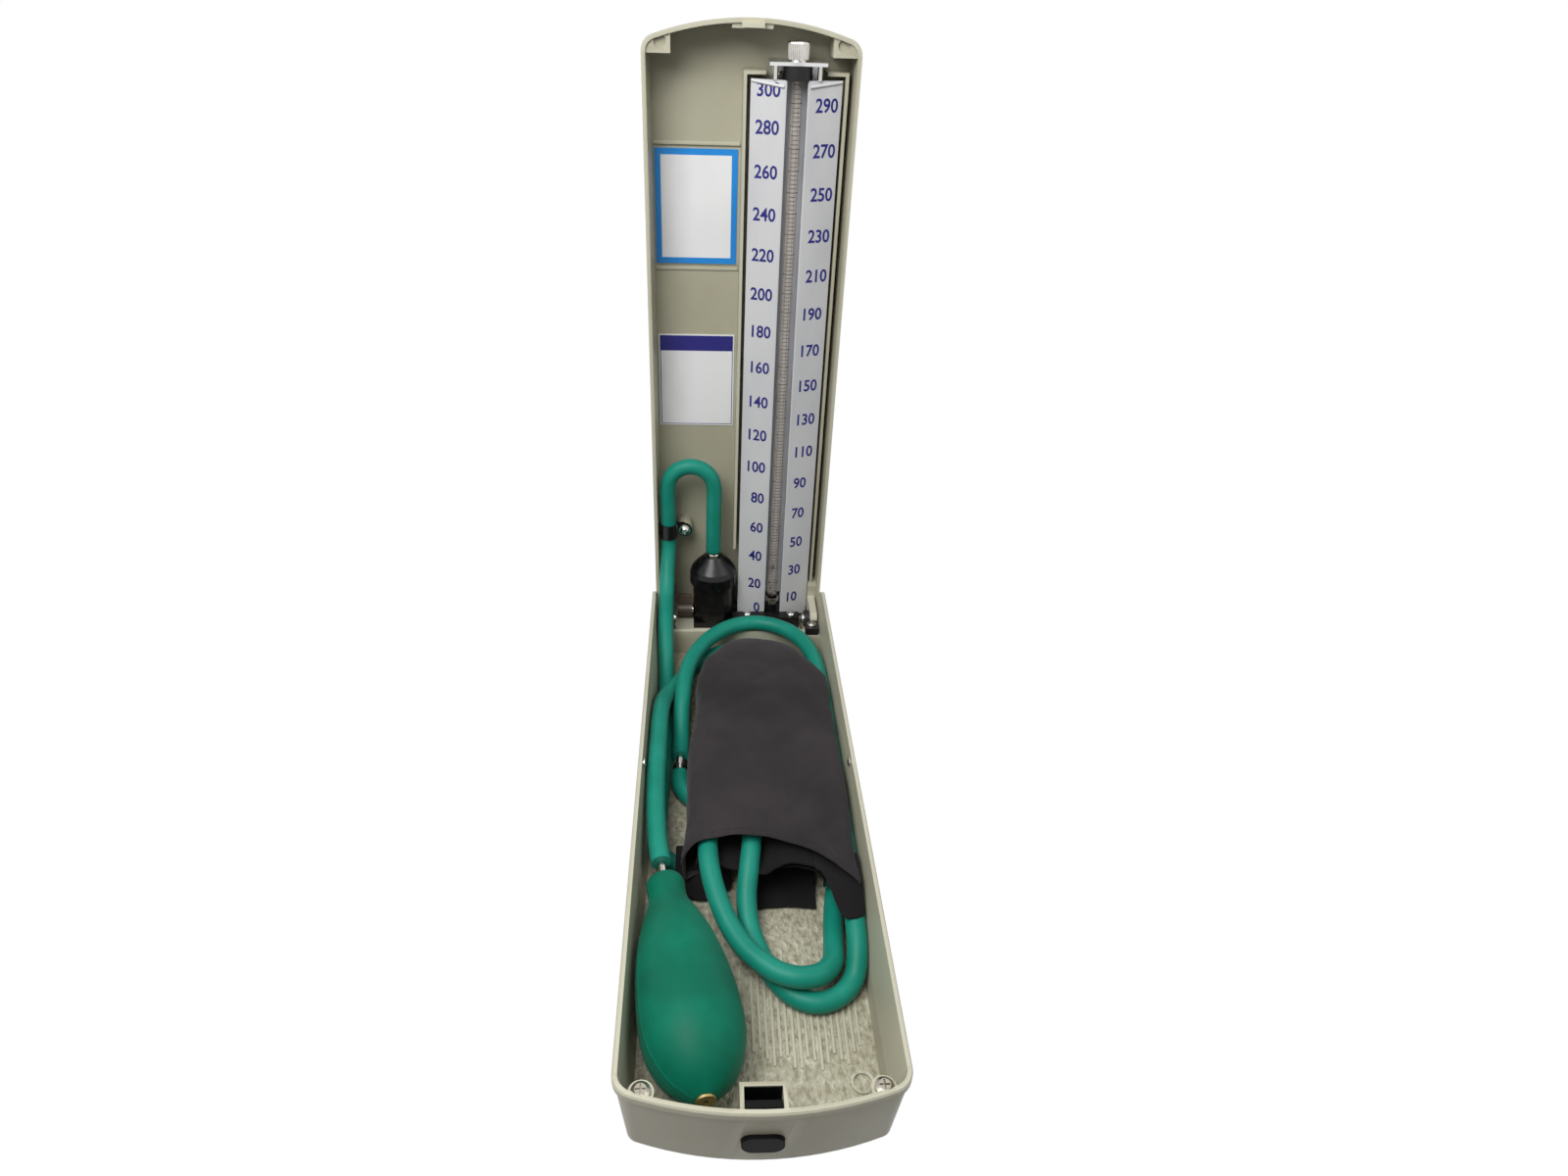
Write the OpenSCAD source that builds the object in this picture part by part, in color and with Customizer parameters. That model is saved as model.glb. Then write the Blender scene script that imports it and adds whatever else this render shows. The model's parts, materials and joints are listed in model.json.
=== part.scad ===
// Mercury blood-pressure meter in a hinged two-part case, with its lid standing open.
// +X points to the right, +Y to the hinge end and +Z up.
// The origin is the middle of the case's underside.

/* [Tray] */
// Width of the tray at its rim
tray_w = 104; // [100:0.5:112]
// Length of the tray from its hinge end to its bowed front
tray_l = 330.5; // [326:0.5:345]
// Height of the tray
tray_h = 37; // [36:0.5:42]
// Wall thickness of the tray
tray_wall = 2; // [1.6:0.1:2.4]
// Floor thickness of the tray
tray_floor = 2.5; // [1.5:0.1:2.6]
// Radius of the bowed front
front_bow = 146; // [120:1:200]
// Corner radius at the front
front_corner = 9; // [6:0.5:14]
// How far the walls lean in from rim to foot
tray_draft = 3.8; // [2:0.1:4.4]
// Height of the proud band round the rim
rim_band = 4; // [3:0.5:6]
// How far the rim band stands out
rim_step = 0.8; // [0.4:0.1:1.2]
// Height of the low rear wall
rear_wall_h = 12; // [9:0.5:12.5]
// Thickness of the cross wall in front of the hinge
cross_wall_t = 2.5; // [2:0.1:3]
// Height of the cross wall
cross_wall_h = 18.4; // [14:0.2:18.4]

/* [Lid] */
// How far the lid's edge stays inside the tray's edge
lid_inset = 1.5; // [1:0.1:2]
// Depth of the lid
lid_depth = 24; // [23:0.5:28]
// Wall thickness of the lid
lid_wall = 2; // [1.6:0.1:2.2]
// Thickness of the lid's back
lid_back = 2.2; // [1.6:0.1:2.4]
// How far the lid's walls lean in from rim to back
lid_draft = 1.2; // [0.6:0.1:1.6]
// Corner radius of the lid's bowed end
lid_corner = 7.5; // [5:0.5:10]
// Height of the rails round the scale, above the lid's back
rail_h = 15.8; // [10:0.1:16]
// Thickness of the rails
rail_t = 1.6; // [1.2:0.1:2]
// Size of the square rest pads
pad_size = 9.5; // [8:0.5:11]

/* [Hinge] */
// Distance from the hinge axis to the tray's rear end
hinge_back = 16; // [15.5:0.1:16.2]
// Distance from the hinge axis up to the tray's rim
hinge_drop = 16; // [15.5:0.1:16.5]
// Radius of the hinge knuckles
knuckle_r = 5; // [4.5:0.1:5.2]
// Radius of the hinge pins
pin_r = 2; // [1.5:0.1:2.5]
// Length of the lid's cover plate under the scale
cover_l = 24.3; // [20:0.1:24.4]

/* [Latch] */
// Width of the latch button
button_w = 15.2; // [13:0.2:15.4]
// Height of the latch button
button_h = 9; // [7:0.2:10]
// Height of the button's centre above the underside
button_z = 17; // [16:0.2:18]
// Travel of the button
button_travel = 1.4; // [1.2:0.1:1.5]
// Outer width of the latch pocket
pocket_w = 16.4; // [16.2:0.2:18]
// Wall of the latch pocket
pocket_wall = 1.5; // [1:0.1:1.6]
// Radius of the latch spring's coil
spring_r = 2.2; // [1.8:0.1:2.4]
// Turns of the latch spring
spring_turns = 5; // [4:1:7]

/* [Gauge] */
// Place of the scale's middle across the lid
scale_x = 21.4; // [20.5:0.1:21.6]
// Width of the scale plate
scale_w = 43; // [40:0.2:43]
// Height of one millimetre of mercury on the scale
unit_h = 0.98; // [0.94:0.01:0.99]
// Height of the zero mark above the open lid's end wall
zero_z = 8.7; // [8.4:0.1:9]
// Sheet thickness of the scale plate
scale_t = 0.8; // [0.5:0.1:1]
// Width of the groove that holds the tube
groove_w = 11.4; // [10.8:0.1:12.4]
// Depth of the groove behind the scale's ridges
groove_d = 8.5; // [8.3:0.1:8.8]
// How far the wings fall back at their outer edges
wing_fall = 5; // [2:0.2:5.4]
// Outer radius of the glass tube
glass_r = 3; // [2.6:0.1:3.2]
// Bore radius of the glass tube
glass_bore = 1.4; // [1:0.1:1.6]
// Radius of the knurled filler cap
filler_r = 5.2; // [4.6:0.1:6]
// Height of the knurled filler cap
filler_h = 8.5; // [6:0.5:9]

/* [Reservoir] */
// Place of the reservoir across the lid
reservoir_x = -15.5; // [-15.9:0.1:-15.3]
// Outer radius of the reservoir's barrel
barrel_r = 12.2; // [11.4:0.1:12.4]
// Wall of the barrel
barrel_wall = 2; // [1.4:0.1:2.2]
// Height of the barrel
barrel_h = 21; // [17:0.5:24]
// Outer radius of the reservoir's cap
cap_r = 14.2; // [13.4:0.1:14.3]
// Height of the cap above the barrel
cap_h = 14.5; // [13:0.5:15]
// Radius of the stopcock's plug
plug_r = 2.4; // [2:0.1:2.5]
// Length of the stopcock's lever from its axis
lever_l = 10.5; // [8:0.5:12]

/* [Tubing and bulb] */
// Outer diameter of the rubber tubing
hose_d = 9; // [8:0.1:9]
// Greatest radius of the squeeze bulb
bulb_r = 20.2; // [18:0.1:20.3]
// Length of the squeeze bulb
bulb_l = 99; // [90:1:100]
// Wall of the squeeze bulb
bulb_wall = 2.2; // [1.5:0.1:3]
// Radius of the steel connector in the bulb's neck
connector_r = 2; // [1.6:0.1:2.4]

/* [Cuff] */
// Height of the rolled cuff's crown above the underside
cuff_top = 36.8; // [34:0.2:36.8]
// Thickness of the bladder inside the cuff
bladder_t = 9; // [7:0.5:9]

/* [Labels] */
// Width of the two label plates
label_w = 41.6; // [38:0.2:41.6]
// Height of the upper label plate
label_high = 55.5; // [50:0.5:56]
// Height of the lower label plate
label_low = 53; // [46:0.5:54]
// Thickness of the label plates
label_t = 0.4; // [0.2:0.1:0.6]

/* [Fits] */
// Radial clearance of the hinge pins and the stopcock
fit = 0.05; // [0.02:0.01:0.1]
// Gap between the closed rims
rim_gap = 0.3; // [0.2:0.1:0.6]
// Gap round a soft piece or a swinging one
gap = 0.3; // [0.2:0.05:0.4]

/* [Hidden] */
$fn = 48;

// Case
front_y = -tray_l / 2;
rear_y = tray_l / 2;
hinge_y = rear_y - hinge_back;
hinge_z = tray_h - hinge_drop;
lid_rim_z = tray_h + rim_gap;
lid_top_z = lid_rim_z + lid_depth;
lid_front_y = front_y + lid_inset;
lid_w = tray_w - 2 * lid_inset;
lid_bow = front_bow - 2 * lid_inset;
foot_chamfer = 1.2;
cover_reach = hinge_z - tray_floor - 0.4;
cover_len = min(cover_l, lid_rim_z - hinge_z + sqrt(pow(cover_reach, 2) - pow(hinge_back, 2)));

// Places in the open lid, where the rim plane faces -Y
open_rim_y = hinge_y + lid_rim_z - hinge_z;
open_back_y = open_rim_y + lid_depth - lid_back;
open_end_z = hinge_z - hinge_back + lid_wall;
open_top_z = hinge_z + hinge_y - lid_front_y;
zero_mark = open_end_z + zero_z;

// Hinge stations along X
ear_x0 = tray_w / 2 - 12.4;
cover_w = 2 * (ear_x0 - 0.8);
ear_t = 3.2;
washer_t = 0.3;
arm_x0 = ear_x0 + ear_t + washer_t + 0.1;
arm_t = 4.1;
bracket_front = hinge_y - 14.75;
bracket_rear = hinge_y - knuckle_r - 0.35;
bracket_t = 4.5;
bracket_screw_x = ear_x0 + 3.9;
bracket_screw_y = bracket_front + 4.7;

// Rest pads and screws at the bowed end
corner_x = tray_w / 2 - 10.1;
corner_y = front_y + 11.7;
corner_boss_r = 4.6;
corner_boss_h = tray_h - 5.4;
corner_head_r = 3.4;
corner_head_h = 2.3;

// Side rivets
rivet_y = 7.8;
rivet_z = tray_h - 3.4;

// Latch
wall_lean = (tray_draft - rim_step) / (tray_h - rim_band);
wall_at_button = front_y + rim_step + wall_lean * (tray_h - rim_band - button_z);
latch_plate_t = 1.5;
latch_plate_y = wall_at_button + 3.45;
recess_y = wall_at_button + button_travel + 0.15;
pocket_rear = wall_at_button + 9.3;
pocket_h = tray_h - 2.5;
tooth_l = 1.2;
catch_t = 1.1;
catch_low = tray_h - 7.6;
catch_y = front_y + inner_inset(catch_low) + 0.1 + gap;
barb_l = latch_plate_y - tooth_l - catch_y - catch_t + 0.6;

// Gauge
ridge_y = open_rim_y + 0.25;
tube_y = ridge_y + groove_d - scale_t - glass_r - 0.6;
scale_bottom = open_end_z + 4;
scale_top = zero_mark + 300 * unit_h - 0.2;
bracket_z = scale_top + 6;
plate_t = 1.5;
groove_floor = ridge_y + groove_d;
post_x = 10.3;
socket_r = 4.4;
socket_top = zero_mark + 4.3;
tube_foot = open_end_z + 4.6;

// Reservoir
reservoir_y = open_rim_y + 5.45;
cup_top = open_end_z + 10;
pool_r = barrel_r - barrel_wall - 0.3;
pool_floor = open_end_z + 2.6;
plug_z = open_end_z + 6;
plug_x0 = reservoir_x - barrel_r - 9.8;
plug_x1 = reservoir_x + barrel_r + 1.8;
cap_base = cup_top + barrel_h - 4;
cap_top = cap_base + cap_h + 4;
nozzle_top = cap_top + 2.5;
manifold_front = open_rim_y - 7.1;
manifold_screw_x = [scale_x - 15.8, scale_x + 11.6];
manifold_screw_y = manifold_front + 3.4;

// Rails, labels and the scale's supports
rail_left = scale_x - scale_w / 2 - 1.8;
rail_right = scale_x + scale_w / 2 + 1.4;
rail_top = scale_top + 1.6;
label_x = rail_left - rail_t - 1.4 - label_w;
label_high_z = open_end_z + 214.2;
label_low_z = open_end_z + 123.3;
standoff_z = [for (rise = [36, 156, 281]) open_end_z + rise];

// Tubing: routes chosen by hand, in order from one end to the other
hose_r = hose_d / 2;
hose_sides = 10;
bulb_route = [
  [-19, -24, 27], [-19, -36, 26.7], [-18.2, -48, 25], [-15.5, -60, 22], [-10.5, -73, 18.6],
  [-4, -84, 17], [3, -91.5, 16.8], [10.3, -96.8, 16.8], [18.5, -99, 16.8], [26.5, -96.8, 15.8],
  [31.8, -90.4, 13.6], [34, -80, 10.4], [35.2, -68, 8.4], [37.8, -51, 7.3], [40.9, -33, 7.2],
  [42, -10, 7.2], [42, 40, 7.2], [41.8, 90, 7.2], [38.5, 108, 7.5],
  [30, 122, 8.2], [16.5, 130.5, 9.4], [0, 131, 10.8], [-14.5, 124, 12], [-25, 112.5, 12.8],
  [-31.5, 101.5, 13.4], [-36.5, 90.5, 14.8], [-40.8, 79, 18], [-43, 66, 22.6], [-43.6, 50, 26],
  [-43.6, 28, 27.3], [-43.6, 4, 26.9], [-42.8, -17, 25.6], [-41.2, -34, 24.2], [-39.3, -45, 23.4]
];
gauge_route = [
  [1, -24, 27], [0.8, -35, 26], [-0.6, -46, 22.2], [-2, -57, 16], [-1.3, -67, 10.4],
  [2, -78, 7.6], [8, -91, 7.2], [16, -100.5, 7.2], [25, -103.8, 7.2], [34.2, -101, 7.3],
  [40.9, -94, 9.2], [43.1, -84.5, 14.6], [43.3, -71, 18.6], [43.4, -52, 21], [43.5, -20, 22],
  [43.5, 38, 22], [43.2, 95, 22.2], [40.6, 112, 22.6], [34.5, 126, 23.1],
  [24, 136.5, 23.1], [10.5, 141, 23.1], [-3, 138, 23.1], [-14.3, 129, 23.1], [-22.8, 116.5, 23.1],
  [-28.5, 102, 23.1], [-31.2, 87, 22.8], [-32.3, 74, 19.4], [-32.9, 63.5, 13.6], [-32.9, 55, 9.1],
  [-32.9, 47, 7.2], [-32.9, 40, 7.2]
];
lid_route = [
  [-15.5, 171, 55], [-15.5, 171, 66], [-15.5, 171.3, 84], [-15.5, 171.5, 97.5],
  [-17.3, 171.5, 104.3], [-22.3, 171.5, 109.3], [-29, 171.5, 111.1], [-35.7, 171.5, 109.3],
  [-40.6, 171.5, 104.3], [-42.4, 171.5, 97.5], [-42.4, 171.5, 81], [-42.4, 171.5, 64.2],
  [-42.6, 170.2, 57.5], [-43, 167, 51]
];
bend_route = [[-43, 167, 51], [-43.4, 160, 42.5], [-43.6, 151, 35.2], [-43.6, 141, 31]];
tray_route = [
  [-43.6, 141, 31], [-43.5, 130, 27.2], [-43.1, 118, 20], [-42.5, 107, 12.4], [-42.2, 96, 8.2],
  [-42.1, 84, 7.2], [-42.1, 33, 7.2], [-42.1, -18, 7.2], [-39.8, -26.5, 7.2],
  [-33.6, -32.7, 7.2], [-25.1, -35, 7.2], [-16.6, -32.7, 7.2], [-10.4, -26.5, 7.2],
  [-8.1, -17.5, 7.2], [-9.8, -8, 7.2], [-15.2, 0, 7.2], [-22.5, 6.4, 7.2], [-28.6, 12.4, 7.2],
  [-32, 18.4, 7.2], [-32.9, 23.5, 7.2], [-32.9, 28, 7.2]
];
gauge_hose_route = concat(
  lid_route,
  [for (i = [1 : len(bend_route) - 1]) bend_route[i]],
  [for (i = [1 : len(tray_route) - 1]) tray_route[i]]
);
bend_from = len(lid_route) - 1;
bend_to = bend_from + len(bend_route) - 1;

// Bulb: its far end lies near the latch, and its axis runs back from there to the neck
bulb_turn = 10.4;
bulb_end = [-tray_w / 2 + 32.27, front_y + 13.38, 23.2];
neck = bulb_end - bulb_l * [sin(bulb_turn), -cos(bulb_turn), 0];

// Hose clip
clip_x = -42.4;
clip_y = open_rim_y + 5.95;
clip_z = open_end_z + 62.6;
clip_h = 9;
clip_t = 0.8;
clip_eye_x = -32.9;
clip_eye_z = clip_z - 2.6;
clip_face = clip_y + hose_r + 0.1 + clip_t;

// Cuff
cuff_x = 5.2;
cuff_half = 32;
cuff_front = -44;
cuff_turn = 79;
cuff_end = 121;
cuff_base = tray_floor + gap;

// ---------- outlines and lofts ----------

function arc(cx, cy, r, a0, a1, n) = [
  for (i = [1 : n]) let (a = a0 + (a1 - a0) * i / n) [cx + r * cos(a), cy + r * sin(a)]
];

// Outline of a case half, bowed at its front end, as a closed ring seen from above
function case_outline(w, front, rear, bow, corner) =
  let (
    mid = front + bow,
    corner_mid = mid - sqrt(pow(bow - corner, 2) - pow(w / 2 - corner, 2)),
    lean = atan2(corner_mid - mid, w / 2 - corner),
    half = concat(
      arc(0, mid, bow, -90, lean, 8),
      arc(w / 2 - corner, corner_mid, corner, lean, 0, 6),
      [[w / 2, rear]]
    ),
    n = len(half)
  )
  concat([[0, front]], half, [for (i = [0 : n - 1]) [-half[n - 1 - i].x, half[n - 1 - i].y]]);

function ring_at(outline, z) = [for (p = outline) [p.x, p.y, z]];

// Closed solid through rings of equal count, each turning left about the way they follow one another
module loft(rings) {
  n = len(rings[0]);
  m = len(rings);
  polyhedron(
    points = [for (ring = rings) each ring],
    faces = concat(
      [[for (i = [0 : n - 1]) i]],
      [for (k = [0 : m - 2], i = [0 : n - 1]) [k * n + i, (k + 1) * n + i, (k + 1) * n + (i + 1) % n]],
      [for (k = [0 : m - 2], i = [0 : n - 1]) [k * n + i, (k + 1) * n + (i + 1) % n, k * n + (i + 1) % n]],
      [[for (i = [0 : n - 1]) m * n - 1 - i]]
    )
  );
}

function unit(v) = v / norm(v);

// Ring of a round tube at point i of a route, square to the route there
function tube_ring(route, i, r, sides, up) =
  let (
    n = len(route),
    along = unit(route[min(i + 1, n - 1)] - route[max(i - 1, 0)]),
    side = unit(cross(along, up)),
    top = cross(side, along)
  )
  [for (k = [0 : sides - 1]) route[i] + r * (cos(360 * k / sides) * side - sin(360 * k / sides) * top)];

module tube(route, r, sides, up, first = 0, last = -1) {
  loft([for (i = [first : last < 0 ? len(route) - 1 : last]) tube_ring(route, i, r, sides, up)]);
}

module along_x(x0, x1, r) {
  translate([x0, 0, 0]) rotate([0, 90, 0]) cylinder(r = r, h = x1 - x0);
}

module along_y(y0, y1, r) {
  translate([0, y0, 0]) rotate([-90, 0, 0]) cylinder(r = r, h = y1 - y0);
}

module block(low, high) {
  translate(low) cube(high - low);
}

module both_sides() {
  children();
  mirror([1, 0, 0]) children();
}

// Turns what is drawn in the closed place to the open one
module opened() {
  translate([0, hinge_y, hinge_z]) rotate([-90, 0, 0]) translate([0, -hinge_y, -hinge_z]) children();
}

module stadium(w, h, y0, y1) {
  r = h / 2;
  for (s = [-1, 1]) translate([s * (w / 2 - r), 0, 0]) along_y(y0, y1, r);
  block([-w / 2 + r, y0, -r], [w / 2 - r, y1, r]);
}

// ---------- tray ----------

function inner_inset(z) = tray_wall + tray_draft * (tray_h - z) / tray_h;

function tray_ring(inset, z, rear) = ring_at(
  case_outline(tray_w - 2 * inset, front_y + inset, rear, front_bow - inset, front_corner - inset), z
);

module tray_outside() {
  loft([
    tray_ring(tray_draft + foot_chamfer, 0, rear_y - foot_chamfer),
    tray_ring(tray_draft, foot_chamfer, rear_y),
    tray_ring(rim_step, tray_h - rim_band, rear_y),
    tray_ring(0, tray_h - rim_band + 0.4, rear_y),
    tray_ring(0, tray_h - 0.8, rear_y),
    tray_ring(0.5, tray_h, rear_y)
  ]);
}

module tray_inside(z0, rear) {
  loft([tray_ring(inner_inset(z0), z0, rear), tray_ring(tray_wall, tray_h + 0.1, rear)]);
}

module front_boss(x, y) {
  translate([x, y, 0]) cylinder(r = corner_boss_r, h = corner_boss_h);
}

module latch_pocket() {
  block([-pocket_w / 2, front_y, 0], [pocket_w / 2, pocket_rear + pocket_wall, pocket_h]);
  translate([0, 0, button_z]) along_y(pocket_rear, pocket_rear + 7.5, spring_r + 1.5);
}

module tray_shell() color([0.66, 0.63, 0.53]) {
  difference() {
    union() {
      difference() {
        tray_outside();
        tray_inside(tray_floor, rear_y - tray_wall);
        tray_inside(rear_wall_h, rear_y + 1);
      }
      intersection() {
        tray_outside();
        union() {
          // Cross wall and the seats of the hinge brackets
          block([-tray_w / 2, hinge_y - 8.25 - cross_wall_t, 0], [tray_w / 2, hinge_y - 8.25, cross_wall_h]);
          both_sides() block(
            [ear_x0 - 0.4, bracket_front, 0], [tray_w / 2, bracket_rear, cross_wall_h]
          );
          both_sides() front_boss(corner_x, corner_y);
          difference() {
            latch_pocket();
            intersection() {
              block([-pocket_w, front_y, tray_floor], [pocket_w, rear_y, tray_h + 1]);
              latch_pocket_inner();
            }
          }
          // Small round boss on the floor
          translate([corner_x - 2.4, corner_y + 18.7, 0]) difference() {
            cylinder(r = 4.6, h = tray_floor + 1);
            translate([0, 0, tray_floor]) cylinder(r = 3.4, h = 2);
          }
        }
      }
    }
    // Rear corners rounded about the hinge axis, so that the lid's walls can pass
    difference() {
      block([-tray_w, hinge_y, hinge_z], [tray_w, rear_y + 5, tray_h + 5]);
      translate([0, hinge_y, hinge_z]) along_x(-tray_w, tray_w, hinge_back);
    }
    // Room for the swing of the lid's cover plate, over a low sill
    block(
      [-cover_w / 2 - gap, hinge_y, open_end_z - lid_wall - gap],
      [cover_w / 2 + gap, rear_y + 1, tray_h]
    );
    // Holes for screws and rivets
    both_sides() translate([bracket_screw_x, bracket_screw_y, cross_wall_h - 9]) cylinder(r = 1.55, h = 10);
    both_sides() translate([corner_x, corner_y, corner_boss_h - 12]) cylinder(r = 1.75, h = 13);
    both_sides() translate([corner_x, corner_y, corner_boss_h]) cylinder(r = corner_head_r + gap, h = tray_h);
    both_sides() translate([0, rivet_y, rivet_z]) along_x(tray_w / 2 - 6, tray_w / 2 - 0.2, 1.15);
    // Recess and slot of the latch button
    translate([0, 0, button_z]) stadium(button_w + 0.4, button_h + 0.4, front_y - 1, recess_y);
    translate([0, 0, button_z]) stadium(button_w - 4, button_h - 3, front_y - 1, latch_plate_y);
  }
}

// Space inside the latch pocket: narrow behind the button, wider above it up to the front wall
module latch_pocket_inner() {
  half = pocket_w / 2 - pocket_wall;
  block([-half, latch_plate_y - 0.2, tray_floor], [half, pocket_rear, tray_h + 1]);
  intersection() {
    block([-half, front_y, button_z + 9], [half, pocket_rear, tray_h + 1]);
    tray_inside(tray_floor, rear_y);
  }
  translate([0, 0, button_z]) along_y(pocket_rear - 1, pocket_rear + 6, spring_r + 0.6);
}

module hinge_bracket() {
  difference() {
    union() {
      block(
        [ear_x0, bracket_front + 0.4, cross_wall_h],
        [arm_x0 + arm_t, bracket_rear, cross_wall_h + bracket_t]
      );
      block([ear_x0, bracket_rear - 1, cross_wall_h], [ear_x0 + ear_t, hinge_y, cross_wall_h + bracket_t]);
      translate([0, hinge_y, hinge_z]) along_x(ear_x0, ear_x0 + ear_t, knuckle_r);
    }
    translate([0, hinge_y, hinge_z]) along_x(ear_x0 - 1, ear_x0 + ear_t + 1, pin_r + fit);
    translate([bracket_screw_x, bracket_screw_y, cross_wall_h - 1]) cylinder(r = 1.55, h = bracket_t + 2);
  }
}

module hinge_bracket_right() color([0.09, 0.09, 0.1]) hinge_bracket();

module hinge_bracket_left() color([0.09, 0.09, 0.1]) mirror([1, 0, 0]) hinge_bracket();

module pan_screw(head_r, head_h, shank_r, shank_l) {
  difference() {
    union() {
      cylinder(r = head_r, h = head_h * 0.6);
      translate([0, 0, head_h * 0.6]) cylinder(r1 = head_r, r2 = head_r * 0.62, h = head_h * 0.4);
      translate([0, 0, -shank_l]) cylinder(r = shank_r, h = shank_l);
    }
    for (a = [0, 90]) rotate([0, 0, a]) translate([0, 0, head_h]) {
      cube([head_r * 1.1, 0.6, head_h], center = true);
    }
  }
}

module hinge_bracket_screws() color([0.8, 0.8, 0.82]) {
  both_sides() translate([bracket_screw_x, bracket_screw_y, cross_wall_h + bracket_t]) {
    pan_screw(2.7, 1.8, 1.5, bracket_t + 8);
  }
}

module hinge_pins() color([0.75, 0.75, 0.77]) {
  both_sides() translate([0, hinge_y, hinge_z]) {
    along_x(ear_x0, arm_x0 + arm_t, pin_r);
    along_x(ear_x0 - 1.4, ear_x0, pin_r + 1);
  }
}

module hinge_washers() color([0.7, 0.68, 0.6]) {
  both_sides() translate([0, hinge_y, hinge_z]) difference() {
    along_x(ear_x0 + ear_t, ear_x0 + ear_t + washer_t, knuckle_r - 0.6);
    along_x(ear_x0, arm_x0 + 1, pin_r + fit);
  }
}

module corner_screws() color([0.8, 0.8, 0.82]) {
  both_sides() translate([corner_x, corner_y, corner_boss_h]) {
    pan_screw(corner_head_r, corner_head_h, 1.7, 11);
  }
}

module side_rivets() color([0.8, 0.8, 0.82]) {
  head_r = 2.1;
  inner = tray_w / 2 - inner_inset(rivet_z - head_r) - 0.05;
  both_sides() translate([0, rivet_y, rivet_z]) {
    along_x(inner, tray_w / 2 - 0.3, 1.1);
    translate([inner, 0, 0]) rotate([0, -90, 0]) {
      cylinder(r = head_r, h = 0.4);
      translate([0, 0, 0.4]) cylinder(r1 = head_r, r2 = 1.1, h = 0.5);
    }
  }
}

module latch_button() color([0.05, 0.05, 0.06]) {
  half = pocket_w / 2 - pocket_wall - gap;
  head_y = recess_y + 0.05 - button_travel - 0.1;
  translate([0, 0, button_z]) stadium(button_w, button_h, head_y - 1.95, head_y);
  translate([0, 0, button_z]) stadium(button_w - 4.4, button_h - 3.4, head_y - 1, latch_plate_y + 0.5);
  block([-half, latch_plate_y, tray_floor + 4], [half, latch_plate_y + latch_plate_t, tray_h - 3.6]);
  block([-half, latch_plate_y - tooth_l, tray_h - 5.6], [half, latch_plate_y + 0.2, tray_h - 3.6]);
}

module latch_spring() color([0.7, 0.7, 0.72]) {
  start = latch_plate_y + latch_plate_t + 0.45;
  length = pocket_rear + 5.5 - start;
  steps = 12 * spring_turns;
  route = [
    for (i = [0 : steps]) let (a = 360 * spring_turns * i / steps)
      [spring_r * cos(a), start + length * i / steps, button_z + spring_r * sin(a)]
  ];
  tube(route, 0.35, 6, [0, 1, 0]);
}

// ---------- lid, drawn closed and then opened ----------

function lid_ring(inset, z, rear) = ring_at(
  case_outline(lid_w - 2 * inset, lid_front_y + inset, rear, lid_bow - inset, lid_corner - inset), z
);

module lid_outside() {
  loft([
    lid_ring(0, lid_rim_z, rear_y),
    lid_ring(lid_draft, lid_top_z - 2, rear_y),
    lid_ring(lid_draft + 0.6, lid_top_z - 0.6, rear_y - 0.6),
    lid_ring(lid_draft + 2, lid_top_z, rear_y - 2)
  ]);
}

module lid_inside() {
  loft([
    lid_ring(lid_wall, lid_rim_z - 0.1, rear_y - lid_wall),
    lid_ring(lid_wall + lid_draft, lid_top_z - lid_back, rear_y - lid_wall)
  ]);
}

module lid_arm() {
  translate([0, hinge_y, hinge_z]) along_x(arm_x0, arm_x0 + arm_t, knuckle_r);
  block([arm_x0, hinge_y - knuckle_r, hinge_z], [arm_x0 + arm_t, hinge_y + knuckle_r, lid_top_z - 1]);
  block([arm_x0, hinge_y - 12, lid_rim_z + 1], [lid_w / 2 - 1, hinge_y + knuckle_r, lid_top_z - 1]);
}

module lid_catch() {
  low = catch_low;
  block([-5, catch_y, low], [5, catch_y + catch_t, lid_rim_z + 8]);
  block([-5, catch_y, low], [5, catch_y + catch_t + barb_l, low + 1.7]);
  block([-9.3, catch_y, lid_rim_z + 0.8], [9.3, catch_y + 2.6, lid_rim_z + 10]);
  block([-9.3, lid_front_y + 0.9, lid_rim_z + 2], [9.3, catch_y + 1, lid_rim_z + 10]);
}

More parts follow.
